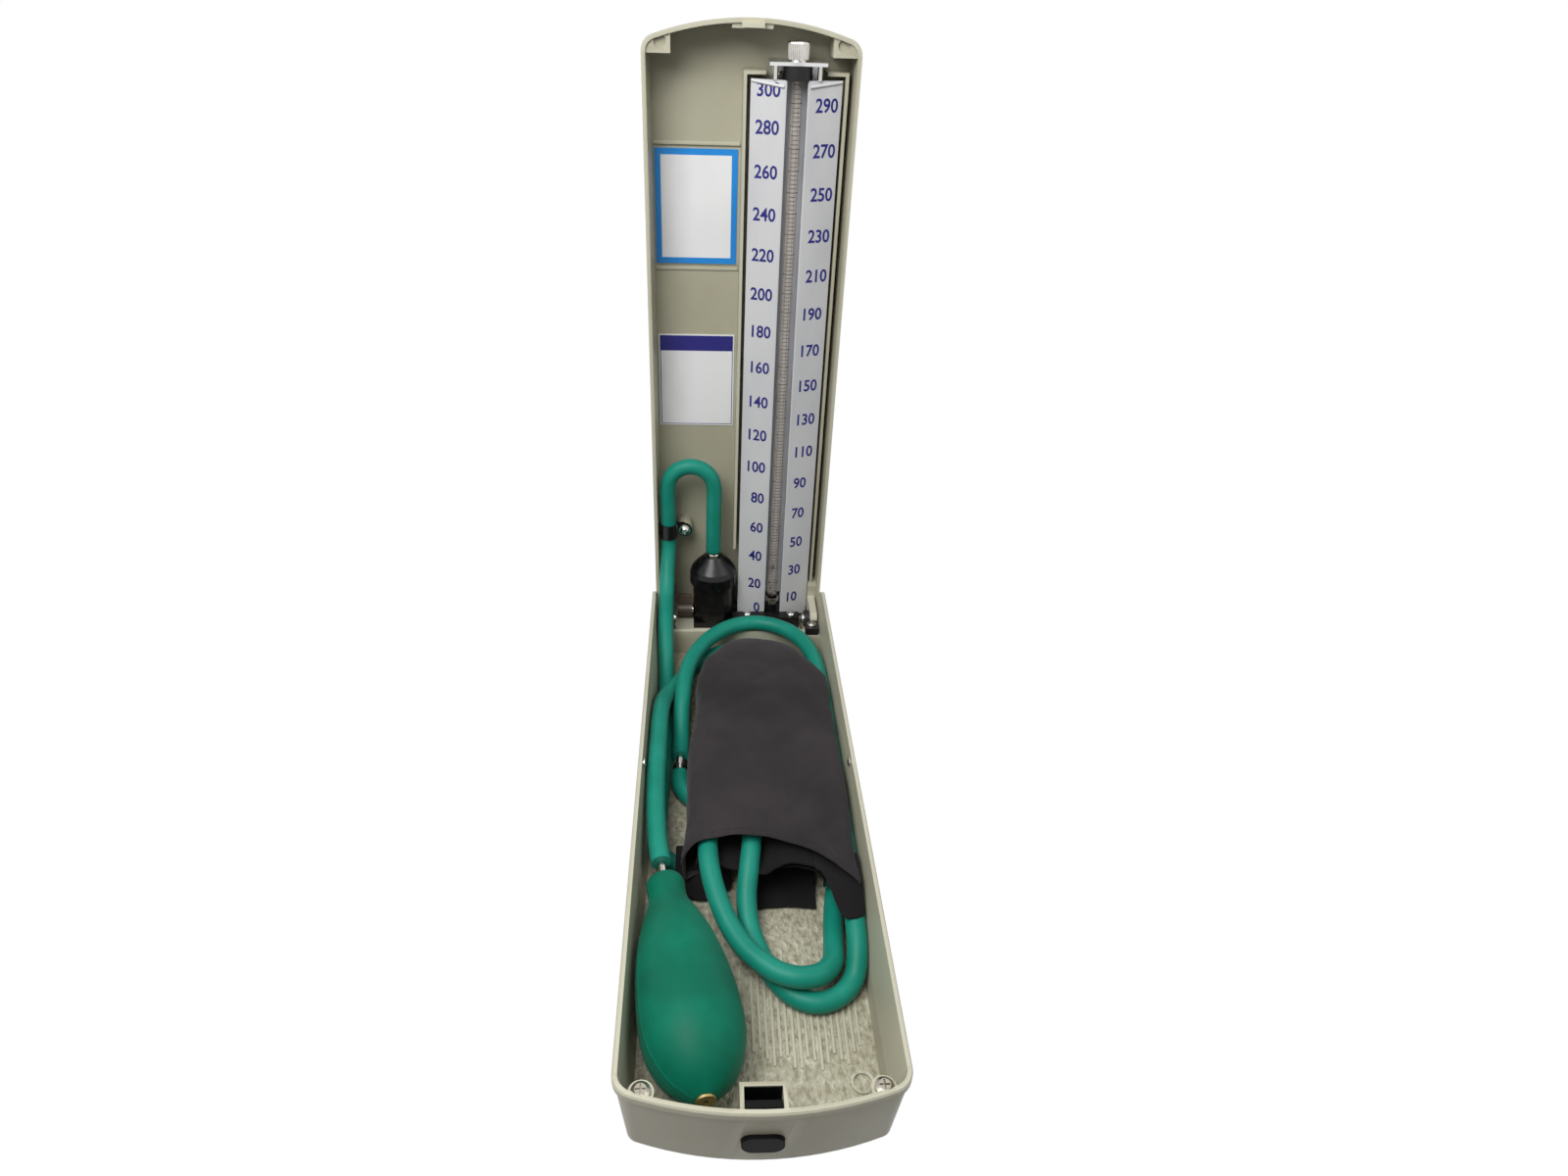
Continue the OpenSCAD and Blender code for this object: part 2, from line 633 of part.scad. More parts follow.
module lid_shell() color([0.66, 0.63, 0.53]) {
  difference() {
    union() {
      opened() {
        difference() {
          lid_outside();
          lid_inside();
        }
        block(
          [-cover_w / 2, rear_y - lid_wall, lid_rim_z - cover_len], [cover_w / 2, rear_y, lid_rim_z + 1]
        );
        intersection() {
          union() {
            lid_outside();
            block([-tray_w, hinge_y - 20, 0], [tray_w, rear_y, lid_rim_z]);
          }
          both_sides() lid_arm();
        }
        intersection() {
          lid_outside();
          both_sides() difference() {
            block(
              [corner_x - pad_size / 2, corner_y - pad_size / 2 - 4, lid_rim_z + 0.8],
              [corner_x + pad_size / 2 + 3, corner_y + pad_size / 2, lid_top_z - 1]
            );
            translate([corner_x, corner_y, lid_rim_z]) cylinder(r = 2.8, h = 2);
          }
        }
        lid_catch();
      }
      lid_rails();
      lid_standoffs();
    }
    // Shallow lines above and below the upper label
    for (z = [label_high_z - 1.6, label_high_z + label_high + 0.6]) {
      block([-lid_w / 2 + 4.5, open_back_y - 1, z], [rail_left - 1, open_back_y + 0.5, z + 1]);
    }
    translate([0, hinge_y, hinge_z]) along_x(-tray_w, tray_w, pin_r + fit);
    for (x = manifold_screw_x) translate([x, manifold_screw_y, hinge_z - hinge_back - 1]) {
      cylinder(r = 1.45, h = 5);
    }
    for (x = [-1, 1]) translate([scale_x + x * 6.5, 0, bracket_z - 6]) {
      along_y(open_back_y - 1, open_back_y + 1.6, 1.25);
    }
    for (z = standoff_z) translate([scale_x, 0, z]) along_y(groove_floor, groove_floor + 6, 1.15);
    translate([clip_eye_x, 0, clip_eye_z]) along_y(clip_face - 1, clip_face + 9, 1.55);
  }
}

module lid_rails() {
  front = open_back_y - rail_h;
  block([rail_left - rail_t, front, cap_top + 4], [rail_left, open_back_y + 1, rail_top + rail_t]);
  block([rail_right, front, hinge_z + 12], [rail_right + rail_t, open_back_y + 1, rail_top + rail_t]);
  block([rail_left - rail_t, front, rail_top], [scale_x - 14.4, open_back_y + 1, rail_top + rail_t]);
  block([scale_x + 14.4, front, rail_top], [rail_right + rail_t, open_back_y + 1, rail_top + rail_t]);
}

module lid_standoffs() {
  for (z = standoff_z) block(
    [scale_x - 5, groove_floor, z - 3.5], [scale_x + 5, open_back_y + 1, z + 3.5]
  );
  translate([clip_eye_x, 0, clip_eye_z]) along_y(clip_face, open_back_y + 1, 4.6);
}

module label_plate(z, h) {
  block([label_x, open_back_y - label_t, z], [label_x + label_w, open_back_y, z + h]);
}

module label_plate_upper() color([0.15, 0.5, 0.8]) label_plate(label_high_z, label_high);

module label_plate_lower() color([0.93, 0.93, 0.95]) label_plate(label_low_z, label_low);

// ---------- gauge ----------

module scale_plate() color([0.9, 0.9, 0.92]) {
  h = groove_w / 2;
  w = scale_w / 2;
  t = scale_t;
  half = [
    [h - t, ridge_y], [h, ridge_y], [w, ridge_y + wing_fall], [w, ridge_y + wing_fall + t],
    [h, ridge_y + t], [h, groove_floor]
  ];
  other_half = [for (i = [5 : -1 : 0]) [-half[i].x, half[i].y]];
  difference() {
    translate([scale_x, 0, scale_bottom]) linear_extrude(scale_top - scale_bottom) {
      polygon(concat(half, other_half, [[-h + t, groove_floor - t], [h - t, groove_floor - t]]));
    }
    // Foot of the groove cut away round the tube's socket
    block(
      [scale_x - h + scale_t, groove_floor - scale_t - 1, scale_bottom - 1],
      [scale_x + h - scale_t, groove_floor + 1, socket_top + 5]
    );
    for (z = standoff_z) translate([scale_x, 0, z]) along_y(groove_floor - 2, groove_floor + 1, 1.15);
  }
}

module scale_screws() color([0.8, 0.8, 0.82]) {
  for (z = standoff_z) translate([scale_x, 0, z]) {
    along_y(groove_floor - scale_t - 0.5, groove_floor - scale_t, 2);
    along_y(groove_floor - scale_t, groove_floor + 5, 1.1);
  }
}

module glass_tube() color([0.85, 0.92, 0.95, 0.5]) {
  translate([scale_x, tube_y, tube_foot]) difference() {
    cylinder(r = glass_r, h = bracket_z - 0.1 - tube_foot);
    translate([0, 0, -1]) cylinder(r = glass_bore, h = bracket_z + 2);
  }
}

module tube_gland() color([0.8, 0.8, 0.82]) {
  translate([scale_x, tube_y, socket_top]) difference() {
    cylinder(r = socket_r - 0.2, h = 3.4, $fn = 6);
    translate([0, 0, -1]) cylinder(r = glass_r + fit, h = 6);
  }
}

module tube_top_bush() color([0.05, 0.05, 0.06]) {
  translate([scale_x, tube_y, scale_top]) difference() {
    cylinder(r = 6.9, h = bracket_z - scale_top);
    translate([0, 0, -1]) cylinder(r = glass_r + fit, h = 9);
  }
}

module tube_bracket() color([0.82, 0.82, 0.84]) {
  difference() {
    union() {
      block([scale_x - 13.3, ridge_y - 2, bracket_z], [scale_x + 13.3, open_back_y, bracket_z + plate_t]);
      block(
        [scale_x - 11, open_back_y - plate_t, bracket_z - 12], [scale_x + 11, open_back_y, bracket_z + 1]
      );
    }
    translate([scale_x, tube_y, bracket_z - 1]) cylinder(r = 4, h = 4);
    for (x = [-1, 1]) translate([scale_x + x * 6.5, 0, bracket_z - 6]) {
      along_y(open_back_y - 3, open_back_y + 1, 1.25);
    }
  }
}

module bracket_posts() color([0.8, 0.8, 0.82]) {
  fall = wing_fall * (post_x - groove_w / 2) / (scale_w / 2 - groove_w / 2);
  for (x = [-1, 1]) translate([scale_x + x * post_x, ridge_y + fall + scale_t / 2, scale_top]) {
    cylinder(r = 1.2, h = bracket_z - scale_top);
  }
}

module bracket_screws() color([0.8, 0.8, 0.82]) {
  for (x = [-1, 1]) translate([scale_x + x * 6.5, open_back_y - plate_t, bracket_z - 6]) {
    rotate([90, 0, 0]) pan_screw(2.3, 1.5, 1.2, plate_t + 1.4);
  }
}

module filler_cap() color([0.78, 0.78, 0.8]) {
  translate([scale_x, tube_y, bracket_z + plate_t]) {
    translate([0, 0, -plate_t + 0.2]) cylinder(r = 4 - fit, h = plate_t);
    cylinder(r = filler_r - 0.5, h = 1);
    translate([0, 0, 0.8]) cylinder(r = filler_r, h = filler_h - 1.6);
    translate([0, 0, filler_h - 0.8]) cylinder(r1 = filler_r, r2 = filler_r - 0.8, h = 0.8);
  }
}

// ---------- mercury circuit ----------

module manifold() color([0.05, 0.05, 0.06]) {
  foot_half = barrel_r - 0.2;
  difference() {
    union() {
      block(
        [reservoir_x - foot_half, manifold_front, open_end_z],
        [manifold_screw_x[1] + 3.5, reservoir_y + foot_half, scale_bottom - gap]
      );
      block(
        [reservoir_x + foot_half, manifold_front, open_end_z],
        [manifold_screw_x[1] + 5, ridge_y - 0.5, zero_mark - 0.7]
      );
      translate([reservoir_x, reservoir_y, open_end_z]) {
        cylinder(r = barrel_r + 0.4, h = cup_top - open_end_z);
      }
      translate([scale_x, tube_y, open_end_z]) cylinder(r = socket_r, h = socket_top - open_end_z);
      block(
        [reservoir_x + pool_r - 0.6, reservoir_y - plug_r - 1.2, open_end_z],
        [plug_x1 + 0.5, reservoir_y + plug_r + 1.2, plug_z + plug_r + 1]
      );
    }
    translate([reservoir_x, reservoir_y, pool_floor]) cylinder(r = pool_r, h = 20);
    translate([0, reservoir_y, plug_z]) along_x(plug_x0 - 2, plug_x1, plug_r + fit);
    // Passage from the stopcock down and across to the tube's socket
    translate([plug_x1 - 1.9, tube_y, open_end_z + 1.9]) cylinder(r = 0.9, h = plug_z - open_end_z - 1.9);
    translate([0, tube_y, open_end_z + 1.9]) along_x(plug_x1 - 1.9, scale_x, 0.9);
    translate([scale_x, tube_y, open_end_z + 1.9]) cylinder(r = 0.9, h = 6);
    translate([scale_x, tube_y, tube_foot]) cylinder(r = glass_r + fit, h = 20);
    for (x = manifold_screw_x) translate([x, manifold_screw_y, open_end_z - 1]) cylinder(r = 1.45, h = 20);
  }
}

module manifold_screws() color([0.8, 0.8, 0.82]) {
  for (x = manifold_screw_x) translate([x, manifold_screw_y, zero_mark - 0.7]) {
    pan_screw(2.5, 1.8, 1.4, zero_mark - 0.7 - open_end_z + lid_wall - 0.4);
  }
}

module mercury() color([0.75, 0.76, 0.78]) {
  difference() {
    translate([reservoir_x, reservoir_y, pool_floor]) cylinder(r = pool_r, h = zero_mark - pool_floor);
    translate([0, reservoir_y, plug_z]) along_x(plug_x0, plug_x1 + 1, plug_r + fit);
  }
  translate([scale_x, tube_y, tube_foot]) cylinder(r = glass_bore, h = zero_mark - tube_foot);
}

module reservoir_barrel() color([0.06, 0.06, 0.07]) {
  translate([reservoir_x, reservoir_y, cup_top]) difference() {
    cylinder(r = barrel_r, h = barrel_h);
    translate([0, 0, -1]) cylinder(r = barrel_r - barrel_wall, h = barrel_h + 2);
  }
}

module reservoir_cap() color([0.06, 0.06, 0.07]) {
  inner = barrel_r + 0.05;
  h = cap_top - cap_base;
  difference() {
    translate([reservoir_x, reservoir_y, cap_base]) rotate_extrude() polygon([
      [inner, 0], [cap_r - 0.8, 0], [cap_r, 0.8], [cap_r, 7.5], [cap_r - 1.2, 10.5], [cap_r - 4, 14],
      [cap_r - 7.6, h - 1.2], [cap_r - 8.6, h], [2.3, h], [2.3, h - 3], [inner - 4, h - 4.5],
      [inner - 1.4, 8.6], [inner - 1.4, 5.2], [inner, 5.2]
    ]);
    // Grip notches round the cap
    for (a = [0 : 20 : 340]) {
      translate([reservoir_x, reservoir_y, cap_base - 1]) rotate([0, 0, a + 10]) {
        translate([cap_r + 0.6, 0, 0]) cylinder(r = 1.3, h = 8);
      }
    }
  }
}

module reservoir_gasket() color([0.3, 0.12, 0.1]) {
  translate([reservoir_x, reservoir_y, cup_top + barrel_h]) difference() {
    cylinder(r = barrel_r, h = 1.2);
    translate([0, 0, -1]) cylinder(r = barrel_r - barrel_wall, h = 4);
  }
}

module hose_nozzle() color([0.8, 0.8, 0.82]) {
  translate([reservoir_x, reservoir_y, cap_top]) difference() {
    union() {
      cylinder(r = 4.6, h = 1.4, $fn = 6);
      translate([0, 0, -3]) cylinder(r = 2.25, h = nozzle_top - cap_top + 3);
      cylinder(r = 3.6, h = nozzle_top - cap_top);
    }
    translate([0, 0, -4]) cylinder(r = 1.2, h = 9);
  }
}

module lock_plug() color([0.8, 0.8, 0.82]) {
  translate([0, reservoir_y, plug_z]) difference() {
    along_x(plug_x0 + 1.5, plug_x1 - 0.1, plug_r);
    along_x(reservoir_x + 5, plug_x1 - 1.2, 0.9);
    for (x = [reservoir_x + 7, plug_x1 - 1.9]) {
      translate([x, 0, -plug_r - 1]) cylinder(r = 0.9, h = plug_r + 1);
    }
  }
}

module lock_lever() color([0.33, 0.27, 0.24]) {
  x1 = plug_x0 + 9;
  translate([0, reservoir_y, plug_z]) difference() {
    union() {
      along_x(plug_x0, x1, 4.6);
      block([plug_x0, -1.9, 0], [x1, 1.9, lever_l]);
    }
    along_x(plug_x0 + 1.5, x1 + 1, plug_r + fit);
  }
}

// ---------- hose clip ----------

module hose_clip() color([0.05, 0.05, 0.06]) {
  r = hose_r + 0.1;
  difference() {
    union() {
      translate([clip_x, clip_y, clip_z - clip_h / 2]) cylinder(r = r + clip_t, h = clip_h);
      block([clip_x, clip_face - 1, clip_z - clip_h / 2], [clip_eye_x, clip_face, clip_z + clip_h / 2 - 2]);
      translate([clip_eye_x, 0, clip_eye_z]) along_y(clip_face - 1, clip_face, 4.4);
    }
    translate([clip_x, clip_y, clip_z - clip_h]) cylinder(r = r, h = 2 * clip_h);
    translate([clip_eye_x, 0, clip_eye_z]) along_y(clip_face - 3, clip_face + 1, 1.55);
  }
}

module hose_clip_washer() color([0.85, 0.85, 0.86]) {
  translate([clip_eye_x, 0, clip_eye_z]) difference() {
    along_y(clip_face - 1.5, clip_face - 1, 3.6);
    along_y(clip_face - 3, clip_face, 1.55);
  }
}

module hose_clip_screw() color([0.8, 0.8, 0.82]) {
  translate([clip_eye_x, clip_face - 1.5, clip_eye_z]) rotate([90, 0, 0]) pan_screw(2.7, 1.9, 1.5, 9);
}

// ---------- cuff ----------

function past_turn(y) = (y - cuff_turn) / (cuff_end - cuff_turn);

function cuff_width(y) = y < cuff_turn ? 1 : sqrt(max(0.02, 1 - pow(past_turn(y) * 0.985, 2)));

function cuff_crown(y) = y < cuff_turn ? cuff_top : cuff_top - (cuff_top - 20) * pow(past_turn(y), 2.2);

function swell(v, power) = sign(v) * pow(abs(v), power);

// Rounded cross-section of the roll at a place along it
function cuff_ring(y, shrink) =
  let (
    top = cuff_crown(y) - shrink,
    low = cuff_base + shrink + (y > 110 ? (y - 110) * 0.5 : 0),
    half = cuff_half * cuff_width(y) - shrink
  )
  [
    for (k = [0 : 27]) let (a = 360 * k / 28)
      [cuff_x + half * swell(cos(a), 0.5), y, (top + low) / 2 - (top - low) / 2 * swell(sin(a), 0.62)]
  ];

module cuff_wrap() color([0.2, 0.19, 0.2]) {
  stations = [cuff_front + 3, 0, 45, cuff_turn, 98, 106, 112, 116.5, 119.5, cuff_end];
  difference() {
    union() {
      loft(concat([cuff_ring(cuff_front, 1.2)], [for (y = stations) cuff_ring(y, 0)]));
      cuff_flap();
      cuff_tail();
    }
    // Hollow mouth of the roll and the bladder's room behind it
    block([cuff_x - 30, cuff_front - 20, cuff_top - 19.4], [cuff_x + 26, -22, cuff_top - 3.5]);
    block([-24.3, -23, bladder_low - gap], [30.3, 95.3, bladder_low + bladder_t + gap]);
    // Room for the tubing that passes underneath
    block([-60, cuff_front - 30, 0], [-3, 18.5, 12]);
  }
}

bladder_low = cuff_top - 5.6 - bladder_t;

// Outer turn of the cloth, lying over the tubing against the tray's side
module cuff_flap() {
  function sheet(y, drop, x1) = [
    [26, y, cuff_top - 4.4], [36, y, cuff_top - 7.2], [x1 - 1.5, y, cuff_top - 8.6 - drop],
    [x1, y, cuff_top - 8 - drop], [x1 - 0.6, y, cuff_top - 5.6 - drop], [36, y, cuff_top - 3.4],
    [26, y, cuff_top - 0.8]
  ];
  reach = tray_w / 2 - inner_inset(cuff_top - 6) - gap;
  loft([
    for (s = [[-60, 0.6, reach], [-40, 0.3, reach], [20, 0, reach], [80, 0, reach], [104, 0.6, reach - 3]])
      [for (i = [0 : 6]) sheet(s[0], s[1], s[2])[6 - i]]
  ]);
}

// Inner turns of the cloth that reach out on the tray's floor
module cuff_tail() {
  low = cuff_base;
  function slab(y, h, x1) = [
    [-2.8, y, low], [x1, y, low], [x1 + 1, y, low + h / 2], [x1 - 1, y, low + h], [-2.8, y, low + h]
  ];
  loft([
    for (s = [[-56, 3, 28], [-50, 5, 30], [-40, 6.5, 32]])
      [for (i = [0 : 4]) slab(s[0], s[1], s[2])[4 - i]]
  ]);
}

module cuff_bladder() color([0.1, 0.35, 0.28]) {
  translate([0, 0, bladder_low]) {
    loft([
      for (s = [[-14, 3], [-10, 0], [90, 0], [95, 4]])
        [[-24 + s[1], s[0], s[1] / 2], [-24 + s[1], s[0], bladder_t - s[1] / 2],
         [30 - s[1], s[0], bladder_t - s[1] / 2], [30 - s[1], s[0], s[1] / 2]]
    ]);
  }
  for (start = [bulb_route[0], gauge_route[0]]) translate([start.x, 0, start.z]) {
    along_y(start.y, -12, min(hose_r, bladder_t / 2) - 0.6);
  }
}

// ---------- bulb and tubing ----------

module on_bulb_axis() {
  translate(neck) rotate([0, 0, bulb_turn]) rotate([90, 0, 0]) children();
}

function bulb_profile(shrink) =
  let (k = bulb_r / 20.2, s = bulb_l / 99)
  [
    for (p = [
      [7.4, 0], [8.4, 2], [8.5, 8], [8.1, 13], [9.6, 19], [12.2, 26], [14.9, 34], [17.6, 44],
      [19.5, 56], [20.2, 68], [19.4, 78], [16.6, 86.5], [12, 93.5], [6, 98], [4.2, 99]
    ])
      [max(p[0] * k - shrink, 2.5), min(max(p[1] * s, shrink), bulb_l - shrink)]
  ];

module bulb() color([0.08, 0.45, 0.35]) {
  on_bulb_axis() difference() {
    rotate_extrude() polygon(concat([[0, 0]], bulb_profile(0), [[0, bulb_l]]));
    rotate_extrude() polygon(concat(
      [[0, 14]], [for (p = bulb_profile(bulb_wall)) if (p.y > 15) p], [[0, bulb_l - bulb_wall]]
    ));
    translate([0, 0, -1]) cylinder(r = connector_r + fit, h = 20);
    translate([0, 0, bulb_l - 8]) cylinder(r = 3.2 + fit, h = 9);
  }
}

module bulb_inlet_valve() color([0.7, 0.62, 0.4]) {
  on_bulb_axis() difference() {
    union() {
      translate([0, 0, bulb_l - 7]) cylinder(r = 3.2, h = 7);
      translate([0, 0, bulb_l]) cylinder(r = 3.8, h = 0.9);
    }
    translate([0, 0, bulb_l - 6]) cylinder(r = 1, h = 8);
  }
}

module bulb_connector() color([0.82, 0.82, 0.84]) {
  end = bulb_route[len(bulb_route) - 1];
  on_bulb_axis() difference() {
    union() {
      translate([0, 0, -norm(end - neck) + 0.2]) cylinder(r = connector_r, h = norm(end - neck) + 13.8);
      translate([0, 0, -1.6]) cylinder(r = connector_r + 0.8, h = 1.4);
    }
    translate([0, 0, -20]) cylinder(r = connector_r * 0.55, h = 40);
  }
}

module hose_joiner() color([0.82, 0.82, 0.84]) {
  start = tray_route[len(tray_route) - 1];
  end = gauge_route[len(gauge_route) - 1];
  translate([start.x, 0, start.z]) difference() {
    union() {
      along_y(start.y, end.y, 2.6);
      along_y((start.y + end.y) / 2 - 2, (start.y + end.y) / 2 + 2, 4);
    }
    along_y(start.y - 1, end.y + 1, 1.3);
  }
}

module hose_to_bulb() color([0.16, 0.52, 0.42]) tube(bulb_route, hose_r, hose_sides, [0, 0, 1]);

module hose_to_gauge() color([0.16, 0.52, 0.42]) tube(gauge_route, hose_r, hose_sides, [0, 0, 1]);

module gauge_hose_lid() color([0.16, 0.52, 0.42]) {
  tube(gauge_hose_route, hose_r, hose_sides, [0, 1, 0], 0, bend_from);
}

module gauge_hose_bend() color([0.16, 0.52, 0.42]) {
  tube(gauge_hose_route, hose_r, hose_sides, [1, 0, 0], bend_from, bend_to);
}

module gauge_hose_tray() color([0.16, 0.52, 0.42]) {
  tube(gauge_hose_route, hose_r, hose_sides, [0, 0, 1], bend_to);
}

tray_shell();
hinge_bracket_left();
hinge_bracket_right();
hinge_bracket_screws();
hinge_pins();
hinge_washers();
corner_screws();
side_rivets();
latch_button();
latch_spring();
lid_shell();
label_plate_upper();
label_plate_lower();
scale_plate();
scale_screws();
glass_tube();
tube_gland();
tube_top_bush();
tube_bracket();
bracket_posts();
bracket_screws();
filler_cap();
manifold();
manifold_screws();
mercury();
reservoir_barrel();
reservoir_cap();
reservoir_gasket();
hose_nozzle();
lock_plug();
lock_lever();
hose_clip();
hose_clip_washer();
hose_clip_screw();
cuff_wrap();
cuff_bladder();
bulb();
bulb_inlet_valve();
bulb_connector();
hose_joiner();
hose_to_bulb();
hose_to_gauge();
gauge_hose_lid();
gauge_hose_bend();
gauge_hose_tray();
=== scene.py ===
"""Mercury blood-pressure meter: an open hinged case with its scale, reservoir, cuff, tubing and bulb.

Sizes and places are in millimetres and angles in degrees, unless a comment says otherwise.
"""

import json
import logging
import math
from dataclasses import dataclass, field
from enum import Enum
from typing import Callable, Sequence

import bmesh
import bpy
from mathutils import Matrix, Vector, noise


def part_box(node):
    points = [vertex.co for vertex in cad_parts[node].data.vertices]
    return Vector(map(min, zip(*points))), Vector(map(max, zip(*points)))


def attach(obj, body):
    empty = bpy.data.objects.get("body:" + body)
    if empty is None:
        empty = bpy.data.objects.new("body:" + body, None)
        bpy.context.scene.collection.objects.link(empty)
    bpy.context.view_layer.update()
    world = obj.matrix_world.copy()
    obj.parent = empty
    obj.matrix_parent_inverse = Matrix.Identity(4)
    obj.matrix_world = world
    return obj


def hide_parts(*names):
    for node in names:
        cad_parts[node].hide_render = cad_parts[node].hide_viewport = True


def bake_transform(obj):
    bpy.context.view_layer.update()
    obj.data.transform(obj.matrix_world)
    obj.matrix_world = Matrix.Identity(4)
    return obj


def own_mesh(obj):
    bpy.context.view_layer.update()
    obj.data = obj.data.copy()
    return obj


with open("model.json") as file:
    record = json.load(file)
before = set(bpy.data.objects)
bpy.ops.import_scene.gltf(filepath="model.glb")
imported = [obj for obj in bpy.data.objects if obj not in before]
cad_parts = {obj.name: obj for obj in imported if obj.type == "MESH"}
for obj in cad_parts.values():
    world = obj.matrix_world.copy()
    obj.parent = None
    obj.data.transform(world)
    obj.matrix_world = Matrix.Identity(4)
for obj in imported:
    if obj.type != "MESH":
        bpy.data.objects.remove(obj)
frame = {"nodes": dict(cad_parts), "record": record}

LOG = logging.getLogger("blood_pressure_meter")
MM = 0.001
UP = Vector((0, 0, 1))
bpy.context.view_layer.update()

Point = tuple[float, float, float]
Colour = tuple[float, float, float]
Outline = tuple[tuple[float, float], ...]
Faces = list[tuple[int, ...]]
Piece = bpy.types.Object
Socket = bpy.types.NodeSocket


class Body(Enum):
    """The moving bodies that pieces ride on."""

    TRAY = "tray"
    LID = "lid"


class Slot(Enum):
    """The record's material slots."""

    CASE = "case"
    BRACKET = "bracket"
    PLATED = "plated"
    STEEL = "steel"
    WASHER = "washer"
    BLACK_PLASTIC = "black_plastic"
    LABEL_BLUE = "label_blue"
    LABEL_WHITE = "label_white"
    SCALE = "scale"
    GLASS = "glass"
    MERCURY = "mercury"
    GASKET = "gasket"
    LEVER = "lever"
    CLOTH = "cloth"
    BLADDER = "bladder"
    BULB_RUBBER = "bulb_rubber"
    HOSE_RUBBER = "hose_rubber"
    BRASS = "brass"


class Look(Enum):
    """The finishes, by the names of their materials."""

    ENAMEL_CASE = "enamel_case"
    ENAMEL_TRIM = "enamel_trim"
    ENAMEL_BLACK = "enamel_black"
    MOULDED_BLACK = "moulded_black"
    BUTTON_BLACK = "button_black"
    MOULDED_LEVER = "moulded_lever"
    NYLON_WASHER = "nylon_washer"
    NICKEL_PLATE = "nickel_plate"
    WORN_NICKEL = "worn_nickel"
    BRUSHED_STEEL = "brushed_steel"
    DULL_BRASS = "dull_brass"
    MERCURY_METAL = "mercury_metal"
    SCALE_WHITE = "scale_white"
    GROOVE_GREY = "groove_grey"
    LABEL_BLUE = "label_blue"
    LABEL_WHITE = "label_white"
    INK_NAVY = "ink_navy"
    INK_TICK = "ink_tick"
    TUBE_BACK = "tube_back"
    HOSE_GREEN = "hose_green"
    BULB_GREEN = "bulb_green"
    GASKET_RED = "gasket_red"
    BLADDER_GREEN = "bladder_green"
    CUFF_CLOTH = "cuff_cloth"
    THREAD = "thread"
    CUFF_LINING = "cuff_lining"
    CLEAR_GLASS = "clear_glass"


class FarEnd(Enum):
    """What a hose's far end is on."""

    OBJECT = "object"
    CONNECTOR = "connector"


# ---------------------------------------------------------------- geometry helpers


def at(x: float, y: float, z: float) -> Vector:
    """A point given in millimetres, as a vector in metres."""
    return Vector((x, y, z)) * MM


def squared(value: float, power: float) -> float:
    """A sine or cosine pushed outwards, which squares a ring's corners."""
    return math.copysign(abs(value) ** power, value)


def ease(value: float, low: float, high: float) -> float:
    """Smooth step.

    Args:
        value: The number to place.
        low: Where the step starts.
        high: Where the step ends.

    Returns:
        0 before low, 1 after high, and a smooth rise between.
    """
    t = min(max((value - low) / (high - low), 0.0), 1.0)
    return t * t * (3 - 2 * t)


def between(table: Sequence[tuple[float, float]], x: float) -> float:
    """Straight-line lookup.

    Args:
        table: Pairs of position and value, in rising position.
        x: The position asked for.

    Returns:
        The value at x, held at the ends.
    """
    if x <= table[0][0]:
        return table[0][1]
    for (x0, y0), (x1, y1) in zip(table, table[1:]):
        if x <= x1:
            return y0 + (y1 - y0) * (x - x0) / (x1 - x0)
    return table[-1][1]


def smooth_line(points: Sequence[Sequence[float]], steps: int) -> list[Vector]:
    """A smooth line through points.

    Args:
        points: The points that the line passes, in millimetres.
        steps: How many short pieces each stretch is cut into.

    Returns:
        Points along the line, in millimetres.
    """
    pts = [Vector(p) for p in points]
    pts = [2 * pts[0] - pts[1]] + pts + [2 * pts[-1] - pts[-2]]
    line: list[Vector] = []
    for i in range(1, len(pts) - 2):
        p0, p1, p2, p3 = pts[i - 1:i + 3]
        d0, d1, d2 = ((b - a).length ** 0.5 for a, b in ((p0, p1), (p1, p2), (p2, p3)))
        m1 = (p1 - p0) / d0 - (p2 - p0) / (d0 + d1) + (p2 - p1) / d1
        m2 = (p2 - p1) / d1 - (p3 - p1) / (d1 + d2) + (p3 - p2) / d2
        m1, m2 = m1 * d1, m2 * d1
        for k in range(steps):
            t = k / steps
            line.append(
                p1 * (2 * t**3 - 3 * t**2 + 1) + m1 * (t**3 - 2 * t**2 + t)
                + p2 * (3 * t**2 - 2 * t**3) + m2 * (t**3 - t**2)
            )
    line.append(pts[-2])
    return line


def run_length(line: Sequence[Vector]) -> float:
    """The length of a line of points, in its own unit."""
    return sum((b - a).length for a, b in zip(line, line[1:]))


def node_box(node: str) -> tuple[Vector, Vector]:
    """A solid's lowest and highest corners, in millimetres."""
    low, high = (Vector(corner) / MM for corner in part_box(node))
    return low, high


def linked(name: str, data: bpy.types.ID) -> Piece:
    """Puts a mesh, curve, lamp or camera into the scene as an object.

    Args:
        name: The object's name.
        data: What it shows.

    Returns:
        The object.
    """
    obj = bpy.data.objects.new(name, data)
    bpy.context.scene.collection.objects.link(obj)
    return obj


def evaluated_mesh(obj: Piece) -> bpy.types.Mesh:
    """The mesh of a piece with its modifiers or its lettering worked out."""
    graph = bpy.context.evaluated_depsgraph_get()
    return bpy.data.meshes.new_from_object(obj.evaluated_get(graph))


